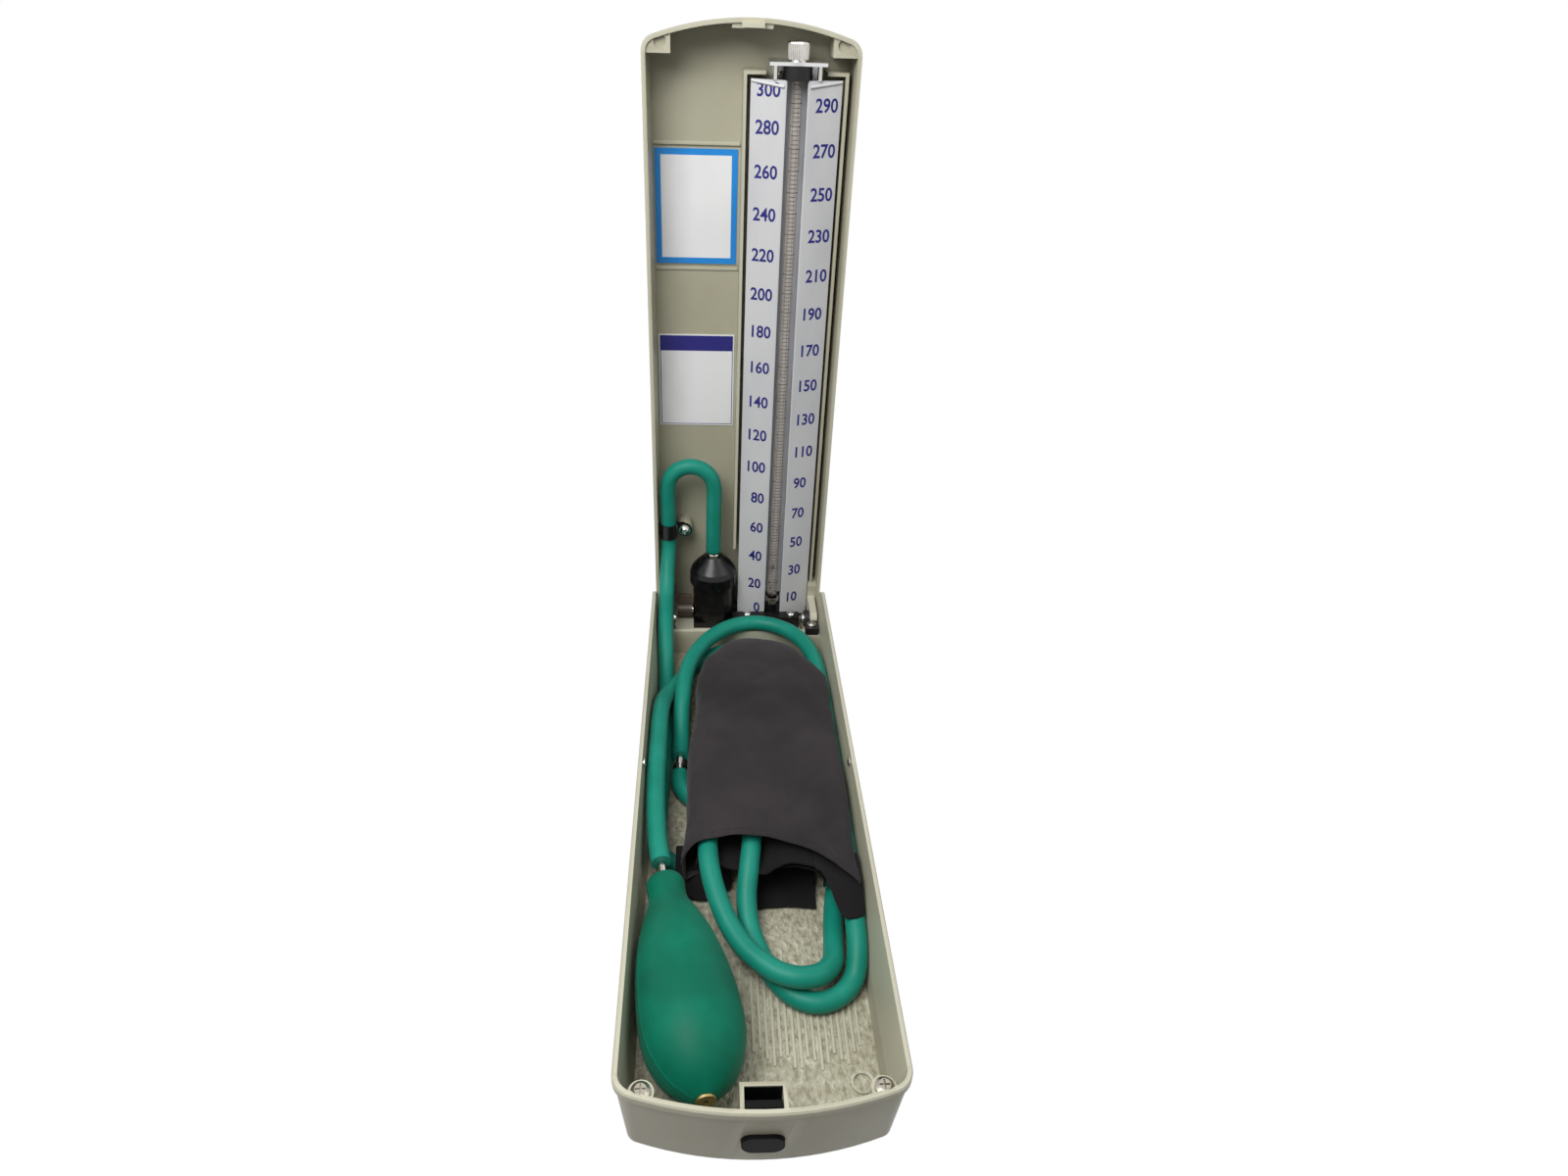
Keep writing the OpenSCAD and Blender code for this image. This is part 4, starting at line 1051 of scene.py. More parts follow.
@dataclass
class Labels(Assembly):
    """The two label plates, kept bare: a border, a header band and white ground."""

    border: float = 3.0
    outline: float = 0.7
    edging: float = 1.1
    header: float = 9.2
    ledge_width: float = 1.5
    ledge_rise: float = 0.75
    ledge_below: float = 3.2
    ledge_above: float = 1.7
    overhang_left: float = 0.5
    overhang_right: float = 0.9

    def panel(self, name: str, node: str, margins: Point, lift: float, finish: Look, slot: Slot) -> None:
        """Lays a thin printed panel on a plate.

        Args:
            name: The panel's name.
            node: The plate's node.
            margins: Distances from the plate's side, top and bottom edges, in millimetres.
            lift: How far the panel stands off the plate, in millimetres.
            finish: The panel's finish.
            slot: The record's material slot.
        """
        low, high = node_box(node)
        side, top, bottom = margins
        near = (low.x + side, low.y - lift, low.z + bottom)
        far = (high.x - side, low.y + 0.1, high.z - top)
        self.dress(slab(name, near, far, 0.02), finish, slot, Body.LID)

    def ledges(self) -> None:
        """Makes the two shallow ledges that the upper plate sits between."""
        low, high = node_box("label_plate_upper")
        left, right = low.x - self.overhang_left, high.x + self.overhang_right
        front, back = high.y - self.ledge_rise, high.y + 0.2
        strips = [
            slab(f"ledge_{n}", (left, front, z), (right, back, z + self.ledge_width), 0.35)
            for n, z in enumerate((low.z - self.ledge_below, high.z + self.ledge_above))
        ]
        self.dress(joined("label_ledges", strips), Look.ENAMEL_TRIM, Slot.CASE, Body.LID)

    def build(self) -> None:
        """Makes the ledges and the panels of both plates."""
        self.ledges()
        upper, lower = "label_plate_upper", "label_plate_lower"
        self.panel("upper_ground", upper, (self.border,) * 3, 0.06, Look.LABEL_WHITE, Slot.LABEL_WHITE)
        self.panel("lower_outline", lower, (self.outline,) * 3, 0.05, Look.INK_NAVY, Slot.LABEL_BLUE)
        inside = (self.edging, self.header, self.edging)
        self.panel("lower_ground", lower, inside, 0.09, Look.LABEL_WHITE, Slot.LABEL_WHITE)


@dataclass
class Scale(Assembly):
    """The numbers and lips of the scale plate, the grey lining of painted shade in its groove, and the lines
    on the glass tube.
    """

    middle: float = 21.4
    ridge: float = 165.8
    wing_start: float = 5.7
    wing_end: float = 21.5
    wing_fall: float = 5.0
    zero: float = 15.7
    unit: float = 0.98
    left_edge: float = 13.6
    right_edge: float = 30.4
    # Height, and width against the font's own, of the digits at 0 and at 300.
    digit_height: tuple[float, float] = (7.0, 6.3)
    digit_squeeze: tuple[float, float] = (0.85, 0.92)
    digit_lift: float = 0.06
    digit_drop: float = 0.7
    end_shifts: dict[int, float] = field(default_factory=lambda: {0: 2.2, 300: -3.6})
    groove_half: float = 4.88
    groove_floor: float = 173.46
    groove_low: float = 25.4
    groove_high: float = 309.3
    lining: float = 0.05
    lip_radius: float = 0.75
    tube_radius: float = 3.0
    tube_y: float = 170.0
    # Thickness and half angle of the short and of the long lines.
    line_height: tuple[float, float] = (0.28, 0.34)
    line_spread: tuple[float, float] = (36, 62)
    back_middle: float = 165.0
    back_height: float = 292.0
    back_spread: float = 44.0
    arc_points: int = 9

    def lettering(self, text: str) -> bpy.types.Mesh:
        """The mesh of a number, flat and at the font's own size.

        Args:
            text: The number.

        Returns:
            The mesh.
        """
        curve = bpy.data.curves.new("number", "FONT")
        curve.body = text
        curve.size = 1.0
        curve.resolution_u = 3
        curve.extrude = 0.02
        curve.offset = 0.02
        holder = linked("number", curve)
        bpy.context.view_layer.update()
        mesh = evaluated_mesh(holder)
        bpy.data.objects.remove(holder)
        return mesh

    def number(self, value: int) -> Piece:
        """Lays one number on its wing: every second ten on the left, the others on the right.

        Args:
            value: The number.

        Returns:
            The number as a thin mesh.
        """
        ends = (self.digit_height, self.digit_squeeze)
        height, squeeze = (low + (high - low) * value / 300 for low, high in ends)
        edge = self.left_edge if value % 20 == 0 else self.right_edge
        z = self.zero + self.unit * value - self.digit_drop + self.end_shifts.get(value, 0.0)
        mesh = self.lettering(str(value))
        xs = [v.co.x for v in mesh.vertices]
        ys = [v.co.y for v in mesh.vertices]
        k = height / (max(ys) - min(ys)) * MM
        side = 1 if edge > self.middle else -1
        lean = math.atan2(self.wing_fall, self.wing_end - self.wing_start)
        x = edge + side * (max(xs) - min(xs)) * k / MM * squeeze * math.cos(lean) / 2
        across = Vector((math.cos(lean), side * math.sin(lean), 0))
        out = Vector((side * math.sin(lean), -math.cos(lean), 0))
        depth = self.ridge + (abs(x - self.middle) - self.wing_start) * math.tan(lean)
        origin = at(x, depth, z) + out * self.digit_lift * MM
        cx, cy = (max(xs) + min(xs)) / 2, (max(ys) + min(ys)) / 2
        for v in mesh.vertices:
            p = v.co.copy()
            v.co = origin + across * (p.x - cx) * k * squeeze + UP * (p.y - cy) * k + out * p.z * MM
        return linked("number", mesh)

    def groove_lining(self) -> Piece:
        """Lays a grey lining on the groove's floor and sides, behind the tube, as painted shade in the
        groove.

        Returns:
            The lining as one piece.
        """
        left, right = self.middle - self.groove_half, self.middle + self.groove_half
        front, back = self.ridge + 0.3, self.groove_floor
        spans = (
            (left, left + self.lining, front), (left, right, back - self.lining),
            (right - self.lining, right, front),
        )
        parts = [
            slab(f"lining_{n}", (x0, y, self.groove_low), (x1, back, self.groove_high), 0.01)
            for n, (x0, x1, y) in enumerate(spans)
        ]
        return joined("groove_lining", parts)

    def lips(self) -> Piece:
        """Makes the small folded lip at the top of each wing.

        Returns:
            Both lips as one piece.
        """
        top = node_box("scale_plate")[1].z
        lips = []
        for side in (-1, 1):
            outer_x = self.middle + side * (self.wing_end - 0.3)
            inner_x = self.middle + side * (self.wing_start + 0.4)
            outer = Vector((outer_x, self.ridge + self.wing_fall, top - 0.7))
            inner = Vector((inner_x, self.ridge + 0.1, top - 2.7))
            line = [outer.lerp(inner, i / 4) for i in range(5)]
            lips.append(tube_mesh(f"lip_{side}", line, self.lip_radius, 10))
        piece = joined("wing_lips", lips)
        piece.data.set_sharp_from_angle(angle=math.radians(50))
        return piece

    def arc(self, z: float, spread: float, height: float, radius: float, turn: float) -> list[Point]:
        """Corners of a thin band bent round the tube.

        Args:
            z: Middle height in millimetres.
            spread: Half its angle in degrees.
            height: Its height in millimetres.
            radius: Its radius in millimetres.
            turn: The way it faces in degrees, 0 towards the front.

        Returns:
            Two rows of points, lower then upper.
        """
        rows: list[Point] = []
        for level in (z - height / 2, z + height / 2):
            for i in range(self.arc_points):
                a = math.radians(turn - spread + 2 * spread * i / (self.arc_points - 1))
                rows.append((self.middle + radius * math.sin(a), self.tube_y - radius * math.cos(a), level))
        return rows

    def graduations(self) -> Piece:
        """Makes the ladder of fine lines on the glass, every fifth one longer.

        Returns:
            The lines as one piece.
        """
        points: list[Point] = []
        faces: Faces = []
        for value in range(0, 301, 2):
            long = value % 10 == 0
            spread, height = self.line_spread[long], self.line_height[long]
            first = len(points)
            points += self.arc(self.zero + value * self.unit, spread, height, self.tube_radius + 0.03, 0)
            faces += [tuple(first + n for n in quad) for quad in grid_faces(2, self.arc_points)]
        return new_object("tube_graduations", points, faces)

    def back_strip(self) -> Piece:
        """Makes the pale strip fired on the back of the glass."""
        points = self.arc(self.back_middle, self.back_spread, self.back_height, self.tube_radius + 0.04, 180)
        return new_object("tube_back_strip", points, grid_faces(2, self.arc_points))

    def build(self) -> None:
        """Makes the numbers, the lines and strip of the tube, the grey lining of painted shade in the groove,
        and the lips.
        """
        numbers = joined("scale_numbers", [self.number(value) for value in range(0, 301, 10)])
        self.dress(numbers, Look.INK_NAVY, Slot.LABEL_BLUE, Body.LID)
        self.dress(self.graduations(), Look.INK_TICK, Slot.LEVER, Body.LID)
        self.dress(self.back_strip(), Look.TUBE_BACK, Slot.LABEL_WHITE, Body.LID)
        # The grey groove lining is painted shade.
        self.dress(self.groove_lining(), Look.GROOVE_GREY, Slot.SCALE, Body.LID)
        self.dress(self.lips(), Look.SCALE_WHITE, Slot.SCALE, Body.LID)


@dataclass
class FillerCap(Assembly):
    """The nickel cap over the tube, with straight knurling round its side."""

    ridges: int = 30
    depth: float = 0.32
    spigot: float = 3.9
    dimple: float = 2.6

    def build(self) -> None:
        """Makes the cap as one skin round the solid's own axis."""
        low, high = node_box("filler_cap")
        middle = (low + high) / 2
        radius = (high.x - low.x) / 2
        base, top = low.z, high.z
        # Radius, height and share of the knurling, from the underside to the top.
        profile = (
            (0.0, base, 0.0), (self.spigot, base, 0.0), (self.spigot, base + 1.3, 0.0),
            (radius - 0.6, base + 1.3, 0.0), (radius - 0.5, base + 1.9, 0.0),
            (radius - 0.05, base + 2.2, 0.3), (radius, base + 2.6, 1.0), (radius, top - 1.4, 1.0),
            (radius - 0.1, top - 0.9, 0.7), (radius - 0.5, top - 0.4, 0.1),
            (radius - 0.9, top - 0.1, 0.0), (radius - 1.5, top, 0.0), (self.dimple, top, 0.0),
            (self.dimple - 0.3, top - 0.25, 0.0), (0.0, top - 0.3, 0.0),
        )
        columns = self.ridges * 6
        points: list[Point] = []
        for r, z, knurl in profile:
            for k in range(columns):
                a = 2 * math.pi * k / columns
                out = r - knurl * self.depth * (0.5 - 0.5 * math.cos(a * self.ridges)) ** 2
                points.append((middle.x + out * math.cos(a), middle.y + out * math.sin(a), z))
        piece = new_object("knurled_cap", points, grid_faces(len(profile), columns, closed=True))
        piece.data.set_sharp_from_angle(angle=math.radians(35))
        self.dress(piece, Look.NICKEL_PLATE, Slot.PLATED, Body.LID)
        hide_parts("filler_cap")


@dataclass
class Bulb(Assembly):
    """The moulded squeeze bulb with its parting line."""

    neck: Point = (-37.6, -54.5, 23.2)
    turn: float = 10.4
    seam: float = 158.0
    seam_height: float = 0.3
    seam_width: float = 0.45
    seam_start: float = 2.0
    waviness: float = 0.25
    sink: float = 0.12
    neck_end: float = 10.0
    shoulder: float = 30.0
    # The girth in metres, which the finish's own places run round.
    girth: float = 0.12
    # Place along the bulb from its neck, and radius there.
    profile: Outline = (
        (0, 3.0), (0.1, 6.4), (0.7, 7.2), (2, 8.0), (4, 8.3), (8, 8.1), (13, 8.5), (19, 10.9),
        (26, 13.6), (34, 16.0), (44, 18.1), (56, 19.6), (68, 20.15), (78, 19.4), (86.5, 16.6),
        (93.5, 12), (98, 6), (98.8, 4.4), (99, 3.4),
    )

    def seams(self) -> tuple[float, float]:
        """The two sides of the bulb that the parting line runs along, in degrees."""
        return (self.seam, self.seam + 180)

    def angles(self) -> list[float]:
        """Places round the bulb in degrees, closer together at the parting line.

        Returns:
            The places in rising order.
        """
        even = [i * 5.0 for i in range(72)]
        close = [(s + d) % 360 for s in self.seams() for d in (-2.4, -1.5, -0.8, 0.0, 0.8, 1.5, 2.4)]
        return sorted({round(a, 2) for a in even + close})

    def radius(self, run: float, radius: float, angle: float) -> float:
        """The bulb's radius with its parting line and a little unevenness.

        Args:
            run: The place along the bulb in millimetres.
            radius: The plain radius there in millimetres.
            angle: The place round the bulb in degrees.

        Returns:
            The radius in millimetres.
        """
        away = min(abs((angle - s + 180) % 360 - 180) for s in self.seams())
        ridge = self.seam_height * math.exp(-((math.radians(away) * radius) / self.seam_width) ** 2)
        a = math.radians(angle)
        soft = self.waviness * noise.noise(Vector((run * 0.03, math.cos(a) * 1.3, math.sin(a) * 1.3)))
        lined = radius + (ridge if run > self.seam_start else 0.0)
        return lined + (soft - self.sink) * ease(run, self.neck_end, self.shoulder)

    def build(self) -> None:
        """Makes the bulb as one skin round its axis."""
        line = smooth_line([(s, r, 0) for s, r in self.profile], 4)
        cos, sin = math.cos(math.radians(self.turn)), math.sin(math.radians(self.turn))
        axis, right = Vector((sin, -cos, 0)), Vector((cos, sin, 0))
        angles = self.angles()
        points: list[Vector] = []
        uv: list[tuple[float, float]] = []
        for p in line:
            for angle in angles:
                a = math.radians(angle)
                out = (right * math.cos(a) + UP * math.sin(a)) * self.radius(p.x, p.y, angle)
                points.append(Vector(self.neck) + axis * p.x + out)
                uv.append((angle / 360 * self.girth, p.x * MM))
        piece = new_object("squeeze_bulb", points, ring_faces(len(line), len(angles)), uv)
        self.dress(piece, Look.BULB_GREEN, Slot.BULB_RUBBER)
        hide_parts("bulb")


@dataclass
class Tubing(Assembly):
    """The rubber hoses, each one smooth run of its real length."""

    radius: float = 4.5
    steps: int = 6
    to_bulb: tuple[Point, ...] = (
        (-19, -24, 27), (-19, -36, 26.7), (-18.2, -48, 25), (-15.5, -60, 22), (-10.5, -73, 18.6),
        (-4, -84, 17), (3, -91.5, 16.8), (10.3, -96.8, 16.8), (18.5, -99, 16.8), (26.5, -96.8, 15.8),
        (31.8, -90.4, 13.6), (34, -80, 10.4), (35.2, -68, 8.4), (37.8, -51, 7.3), (40.9, -33, 7.2),
        (42, -10, 7.2), (42, 40, 7.2), (41.8, 90, 7.2), (38.5, 108, 7.5),
        (30, 122, 8.2), (16.5, 130.5, 9.4), (0, 131, 10.8), (-14.5, 124, 12), (-25, 112.5, 12.8),
        (-31.5, 101.5, 13.4), (-36.5, 90.5, 14.8), (-40.8, 79, 18), (-43, 66, 22.6), (-43.6, 50, 26),
        (-43.6, 28, 27.3), (-43.6, 4, 26.9), (-42.8, -17, 25.6), (-41.2, -34, 24.2), (-39.3, -45, 23.4),
    )
    to_gauge: tuple[Point, ...] = (
        (1, -24, 27), (0.8, -35, 26), (-0.6, -46, 22.2), (-2, -57, 16), (-1.3, -67, 10.4),
        (2, -78, 7.6), (8, -91, 7.2), (16, -100.5, 7.2), (25, -103.8, 7.2), (34.2, -101, 7.3),
        (40.9, -94, 9.2), (43.1, -84.5, 14.6), (43.3, -71, 18.6), (43.4, -52, 21), (43.5, -20, 22),
        (43.5, 38, 22), (43.2, 95, 22.2), (40.6, 112, 22.6), (34.5, 126, 23.1),
        (24, 136.5, 23.1), (10.5, 141, 23.1), (-3, 138, 23.1), (-14.3, 129, 23.1), (-22.8, 116.5, 23.1),
        (-28.5, 102, 23.1), (-31.2, 87, 22.8), (-32.3, 74, 19.4), (-32.9, 63.5, 13.6), (-32.9, 55, 9.1),
        (-32.9, 47, 7.2), (-32.9, 40, 7.2),
    )
    from_reservoir: tuple[Point, ...] = (
        (-15.5, 171, 55), (-15.5, 171, 66), (-15.5, 171.3, 84), (-15.5, 171.5, 97.5),
        (-17.3, 171.5, 104.3), (-22.3, 171.5, 109.3), (-29, 171.5, 111.1), (-35.7, 171.5, 109.3),
        (-40.6, 171.5, 104.3), (-42.4, 171.5, 97.5), (-42.4, 171.5, 81), (-42.4, 171.5, 64.2),
        (-42.6, 170.2, 57.5), (-43, 167, 51), (-43.4, 160, 42.5), (-43.6, 151, 35.2), (-43.6, 141, 31),
        (-43.5, 130, 27.2), (-43.1, 118, 20), (-42.5, 107, 12.4), (-42.2, 96, 8.2),
        (-42.1, 84, 7.2), (-42.1, 33, 7.2), (-42.1, -18, 7.2), (-39.8, -26.5, 7.2), (-33.6, -32.7, 7.2),
        (-25.1, -35, 7.2), (-16.6, -32.7, 7.2), (-10.4, -26.5, 7.2), (-8.1, -17.5, 7.2), (-9.8, -8, 7.2),
        (-15.2, 0, 7.2), (-22.5, 6.4, 7.2), (-28.6, 12.4, 7.2), (-32, 18.4, 7.2), (-32.9, 23.5, 7.2),
        (-32.9, 28, 7.2),
    )

    def declare(self, piece: Piece, line: Sequence[Vector], far_end: FarEnd, **more: object) -> None:
        """Logs a hose's length.

        Args:
            piece: The hose.
            line: Its middle line in millimetres.
            far_end: What is on its far end; not used.
            **more: What else is said of it; not used.
        """
        LOG.info("%s is %.0f mm long", piece.name, run_length(line))

    def free_hose(self, name: str, route: Sequence[Point], node: str) -> None:
        """Makes one hose that lies in the tray, from one piece of the object to another.

        Args:
            name: The hose's name.
            route: The points it passes, in millimetres.
            node: The solid it stands for.
        """
        line = smooth_line(route, self.steps)
        piece = tube_curve(name, line, self.radius)
        self.dress(piece, Look.HOSE_GREEN, Slot.HOSE_RUBBER)
        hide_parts(node)
        self.declare(piece, line, FarEnd.OBJECT)

    def lid_hose(self) -> None:
        """Makes the hose from the reservoir, which bends where the lid turns."""
        line = smooth_line(self.from_reservoir, self.steps)
        piece = tube_mesh("hose_from_reservoir", line, self.radius, 24)
        self.dress(piece, Look.HOSE_GREEN, Slot.HOSE_RUBBER, None)
        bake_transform(piece)
        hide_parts("gauge_hose_lid", "gauge_hose_bend", "gauge_hose_tray")
        path = [tuple(p * MM) for p in line]
        self.declare(piece, line, FarEnd.CONNECTOR, path=path, with_pieces=["hose_joiner"])

    def build(self) -> None:
        """Makes the three hoses."""
        self.free_hose("hose_cuff_to_bulb", self.to_bulb, "hose_to_bulb")
        self.free_hose("hose_cuff_to_gauge", self.to_gauge[::-1], "hose_to_gauge")
        self.lid_hose()


@dataclass(frozen=True)
class Turn:
    """One turn of the cuff's cloth, with its section across and its front edge along the tray."""

    name: str
    section: Outline
    front: Outline
    back: float
    # Inner turns take the darker copy of the cloth, which paints their shade.
    finish: Look = Look.CUFF_LINING


@dataclass(frozen=True)
class SoftFold:
    """One run of soft folds: how deep and how close together they are, how they slant, and their seed."""

    depth: float
    across: float
    along: float
    slant_x: float
    slant_y: float
    seed: float


@dataclass(frozen=True)
class Crease:
    """One sharper crease, between two ends seen from above."""

    start: tuple[float, float]
    end: tuple[float, float]
    depth: float
    half_width: float


@dataclass
class Cuff(Assembly):
    """The rolled cloth cuff: a padded roll, its outer turn, and inner turns in its mouth."""

    centre: float = 5.2
    floor: float = 2.8
    # The roll starts to narrow and to drop towards the hinge at the bend, and closes at the end.
    bend: float = 79.0
    end: float = 121.0
    end_rounding: float = 0.4
    end_drop: float = 0.44
    end_curve: float = 2.8
    end_lean: float = 6.5
    wing: float = 36.0
    waist: float = 0.13
    mouth_spread: float = 2.6
    loop_top: float = 12.9
    roll_front: float = -21.0
    roll_length: float = 141.3
    roll_half: float = 29.5
    roll_top: float = 31.4
    cloth: float = 1.2
    loose_cloth: float = 1.1
    end_cloth: float = 1.3
    hem_width: float = 7.0
    hem_rise: float = 0.35
    fold_middle: float = 14.0
    fold_depth: float = 1.1
    rows: int = 74
    fill: float = 0.4
    outer: Turn = Turn(
        "cuff_outer_turn",
        (
            (-8, 3.4), (-18, 3.4), (-25.5, 4.8), (-28.8, 10), (-29.3, 19), (-27.6, 27.5), (-22.5, 32.6),
            (-12, 35.0), (3, 35.7), (17, 35.4), (28, 33.9), (37, 31.6), (44.4, 30.4), (46.8, 28.9),
        ),
        (
            (-34, -50), (-29, -46), (-22, -41.5), (-8, -40), (5, -40.5), (16, -43.5), (27, -48), (37, -54.5),
            (44, -60.5), (47.5, -63.5),
        ),
        120.6, Look.CUFF_CLOTH,
    )
    inner: tuple[Turn, ...] = (
        Turn(
            "cuff_inner_turn",
            (
                (-24, 14.5), (-22, 18.4), (-14, 20.2), (-2, 20.6), (6.5, 22.0), (11, 26.0), (17, 29.4),
                (26, 29.8), (32.5, 27.4), (35.6, 22.4), (36.0, 17.0),
            ),
            ((-24, -40), (-10, -46), (6, -50), (18, -50.5), (28, -53), (36, -57.5)),
            20,
        ),
        Turn(
            "cuff_third_turn",
            (
                (-20, 13.6), (-8, 15.6), (4, 16.4), (14, 20.5), (22, 25.0), (29, 24.0), (32.4, 18.5),
                (32.6, 14),
            ),
            ((-20, -34), (0, -42), (14, -45), (24, -50), (33, -52)),
            10,
        ),
    )
    soft_folds: tuple[SoftFold, ...] = (
        SoftFold(0.9, 0.045, 0.02, 0.0, 0.0, 3.1),
        SoftFold(1.2, 0.09, 0.018, 0.6, 0.4, 7.7),
        SoftFold(0.4, 0.2, 0.11, 0.0, 0.0, 1.3),
    )
    creases: tuple[Crease, ...] = (
        Crease((14, -38), (41, 12), 1.5, 3.2), Crease((25, -44), (46, -22), 1.3, 2.4),
        Crease((-26, -30), (-12, 24), 1.1, 3.0), Crease((-14, 92), (20, 84), 1.0, 3.4),
        Crease((2, 66), (34, 92), 0.9, 3.0), Crease((-20, 40), (12, 62), 0.9, 4.0),
        Crease((8, 6), (36, 40), 0.8, 3.6),
    )

    def width(self, y: float) -> float:
        """How wide the roll is at a place along it, against its full width."""
        share = max(0.0, y - self.bend) / (self.end + self.end_rounding - self.bend)
        return math.sqrt(max(0.0, 1 - share ** 2))

    def height(self, y: float) -> float:
        """How high the roll is at a place along it, against its full height."""
        share = max(0.0, y - self.bend) / (self.end - self.bend)
        return 1 - self.end_drop * share ** self.end_curve

    def over_hose(self, x: float, y: float) -> float:
        """How high the cloth lies at least, where it passes over the hose loop on the left."""
        return self.loop_top * (1 - ease(y, 24, 44)) * ease(-x, 1, 6)

    def shaped(self, x: float, z: float, y: float) -> Vector:
        """Fits a point of the cross-section to a place along the roll.

        Args:
            x: Its place across, in millimetres.
            z: Its height, in millimetres.
            y: The place along the roll, in millimetres.

        Returns:
            The point in the tray.
        """
        if x > self.wing:
            x = self.wing + (x - self.wing) * (1 - ease(y, 78, 102))
        if x < 0:
            x *= 1 - self.waist * ease(y, 22, 58)
            x -= self.mouth_spread * ease(-y, 28, 50) * ease(-x, 12, 28) * ease(z, 14, 26)
        x = self.centre + (x - self.centre) * self.width(y)
        z = self.floor + (z - self.floor) * self.height(y)
        z = max(z, self.over_hose(x, y))
        y += self.end_lean * ease(y, 72, 119) * ease(z, 17, 27) * ease(x, -20, 6)
        return Vector((x, y, z))

    def crease(self, x: float, y: float) -> float:
        """How deep the sharper creases are at a place, in millimetres.

        Args:
            x: The place across, in millimetres.
            y: The place along the roll, in millimetres.

        Returns:
            The depth in millimetres.
        """
        depth = 0.0
        for crease in self.creases:
            start = Vector(crease.start)
            along, from_start = Vector(crease.end) - start, Vector((x, y)) - start
            t = min(max(from_start.dot(along) / along.length_squared, 0.0), 1.0)
            away = (from_start - along * t).length / crease.half_width
            depth += crease.depth * math.exp(-away * away) * math.sin(math.pi * (0.08 + 0.84 * t))
        return depth

    def folds(self, x: float, y: float) -> float:
        """Soft folds and creases of the cloth at a place, always inwards, in millimetres.

        Args:
            x: The place across, in millimetres.
            y: The place along the roll, in millimetres.

        Returns:
            The way outwards in millimetres, below zero.
        """
        depth = self.fold_depth + self.crease(x, y)
        for fold in self.soft_folds:
            place = ((x + fold.slant_x * y) * fold.across, (y - fold.slant_y * x) * fold.along, fold.seed)
            depth += fold.depth * noise.noise(Vector(place))
        return -depth

    def outwards(self, point: Vector, y: float) -> Vector:
        """The way out from the roll's middle line to a point."""
        return (point - Vector((self.centre, y, self.fold_middle))).normalized()

    def across(self, turn: Turn) -> list[Vector]:
        """A turn's section as a smooth line from side to side."""
        return smooth_line([(x, 0, z) for x, z in turn.section], 5)

    def layer(self, turn: Turn) -> Piece:
        """Makes one turn of the cloth.

        Args:
            turn: The turn's outline, place and finish.

        Returns:
            The layer.
        """
        line = self.across(turn)
        points: list[Vector] = []
        uv: list[tuple[float, float]] = []
        for i in range(self.rows):
            t = 1 - (1 - i / (self.rows - 1)) ** 1.25
            run = 0.0
            for j, p in enumerate(line):
                start = between(turn.front, p.x)
                y = start + (turn.back - start) * t
                q = self.shaped(p.x, p.z, y)
                out = self.folds(q.x, y) + self.hem_rise * ease(start + self.hem_width - y, 0, 0.8)
                q += self.outwards(q, y) * out * ease(q.z, 4, 16) * (0.25 + 0.75 * self.width(y))
                run += (p - line[j - 1]).length if j else 0.0
                points.append(q)
                uv.append((run * MM, y * MM))
        piece = new_object(turn.name, points, grid_faces(self.rows, len(line)), uv)
        thicken(piece, self.cloth)
        self.dress(piece, turn.finish, Slot.CLOTH)
        return piece

    def stitches(self, skin: Piece) -> None:
        """Sews a row of stitches along the front hem of the outer turn.

        Args:
            skin: The outer turn, which the stitches lie on.
        """
        hem, step, half, reach, thread = 3.4, 3.0, 0.8, 8, 0.22
        line = self.across(self.outer)[18:-4]
        track = [self.shaped(p.x, p.z, between(self.outer.front, p.x) + hem) for p in line]
        skin = skin.evaluated_get(bpy.context.evaluated_depsgraph_get())
        dashes: list[Piece] = []
        run = 0.0
        for a, b in zip(track, track[1:]):
            run += (b - a).length
            if run < step:
                continue
            run = 0.0
            along = (b - a).normalized()
            ends: list[Vector] = []
            for place in (a - along * half, a, a + along * half):
                away = self.outwards(place, place.y)
                hit, where, _, _ = skin.ray_cast((place + away * reach) * MM, -away)
                if hit:
                    ends.append(where / MM + away * 0.02)
            if len(ends) == 3:
                dashes.append(tube_mesh("dash", ends, thread, 6))
        self.dress(joined("cuff_stitches", dashes), Look.THREAD, Slot.CLOTH)

    def roll(self) -> Piece:
        """Makes the padded roll under the outer turn.

        Returns:
            The roll.
        """
        points: list[Vector] = []
        uv: list[tuple[float, float]] = []
        sides, rows = 56, 60
        for i in range(rows):
            t = i / (rows - 1)
            y = self.roll_front + self.roll_length * t
            mouth = ease(t, 0, 0.05)
            w = max(self.width(y), 0.05) * (0.9 + 0.1 * mouth)
            top = self.floor + (self.roll_top - self.floor) * self.height(y)
            low = self.floor + 0.3 + 6 * ease(y, 108, 121)
            for k in range(sides):
                a = 2 * math.pi * k / sides
                z = (top + low) / 2 + (top - low) / 2 * squared(math.sin(a), 0.66) * (0.92 + 0.08 * mouth)
                x = self.centre + self.cloth + squared(math.cos(a), 0.55) * self.roll_half * w
                z = max(z, self.over_hose(x, y))
                x += 0.5 * noise.noise(Vector((y * 0.05, z * 0.1, 0)))
                points.append(Vector((x, y, z)))
                uv.append((k / sides * 0.16, y * MM))
        piece = new_object("cuff_roll", points, ring_faces(rows, sides, flip=True), uv)
        # The roll takes the darker copy of the cloth, as painted shade.
        self.dress(piece, Look.CUFF_LINING, Slot.CLOTH)
        return piece

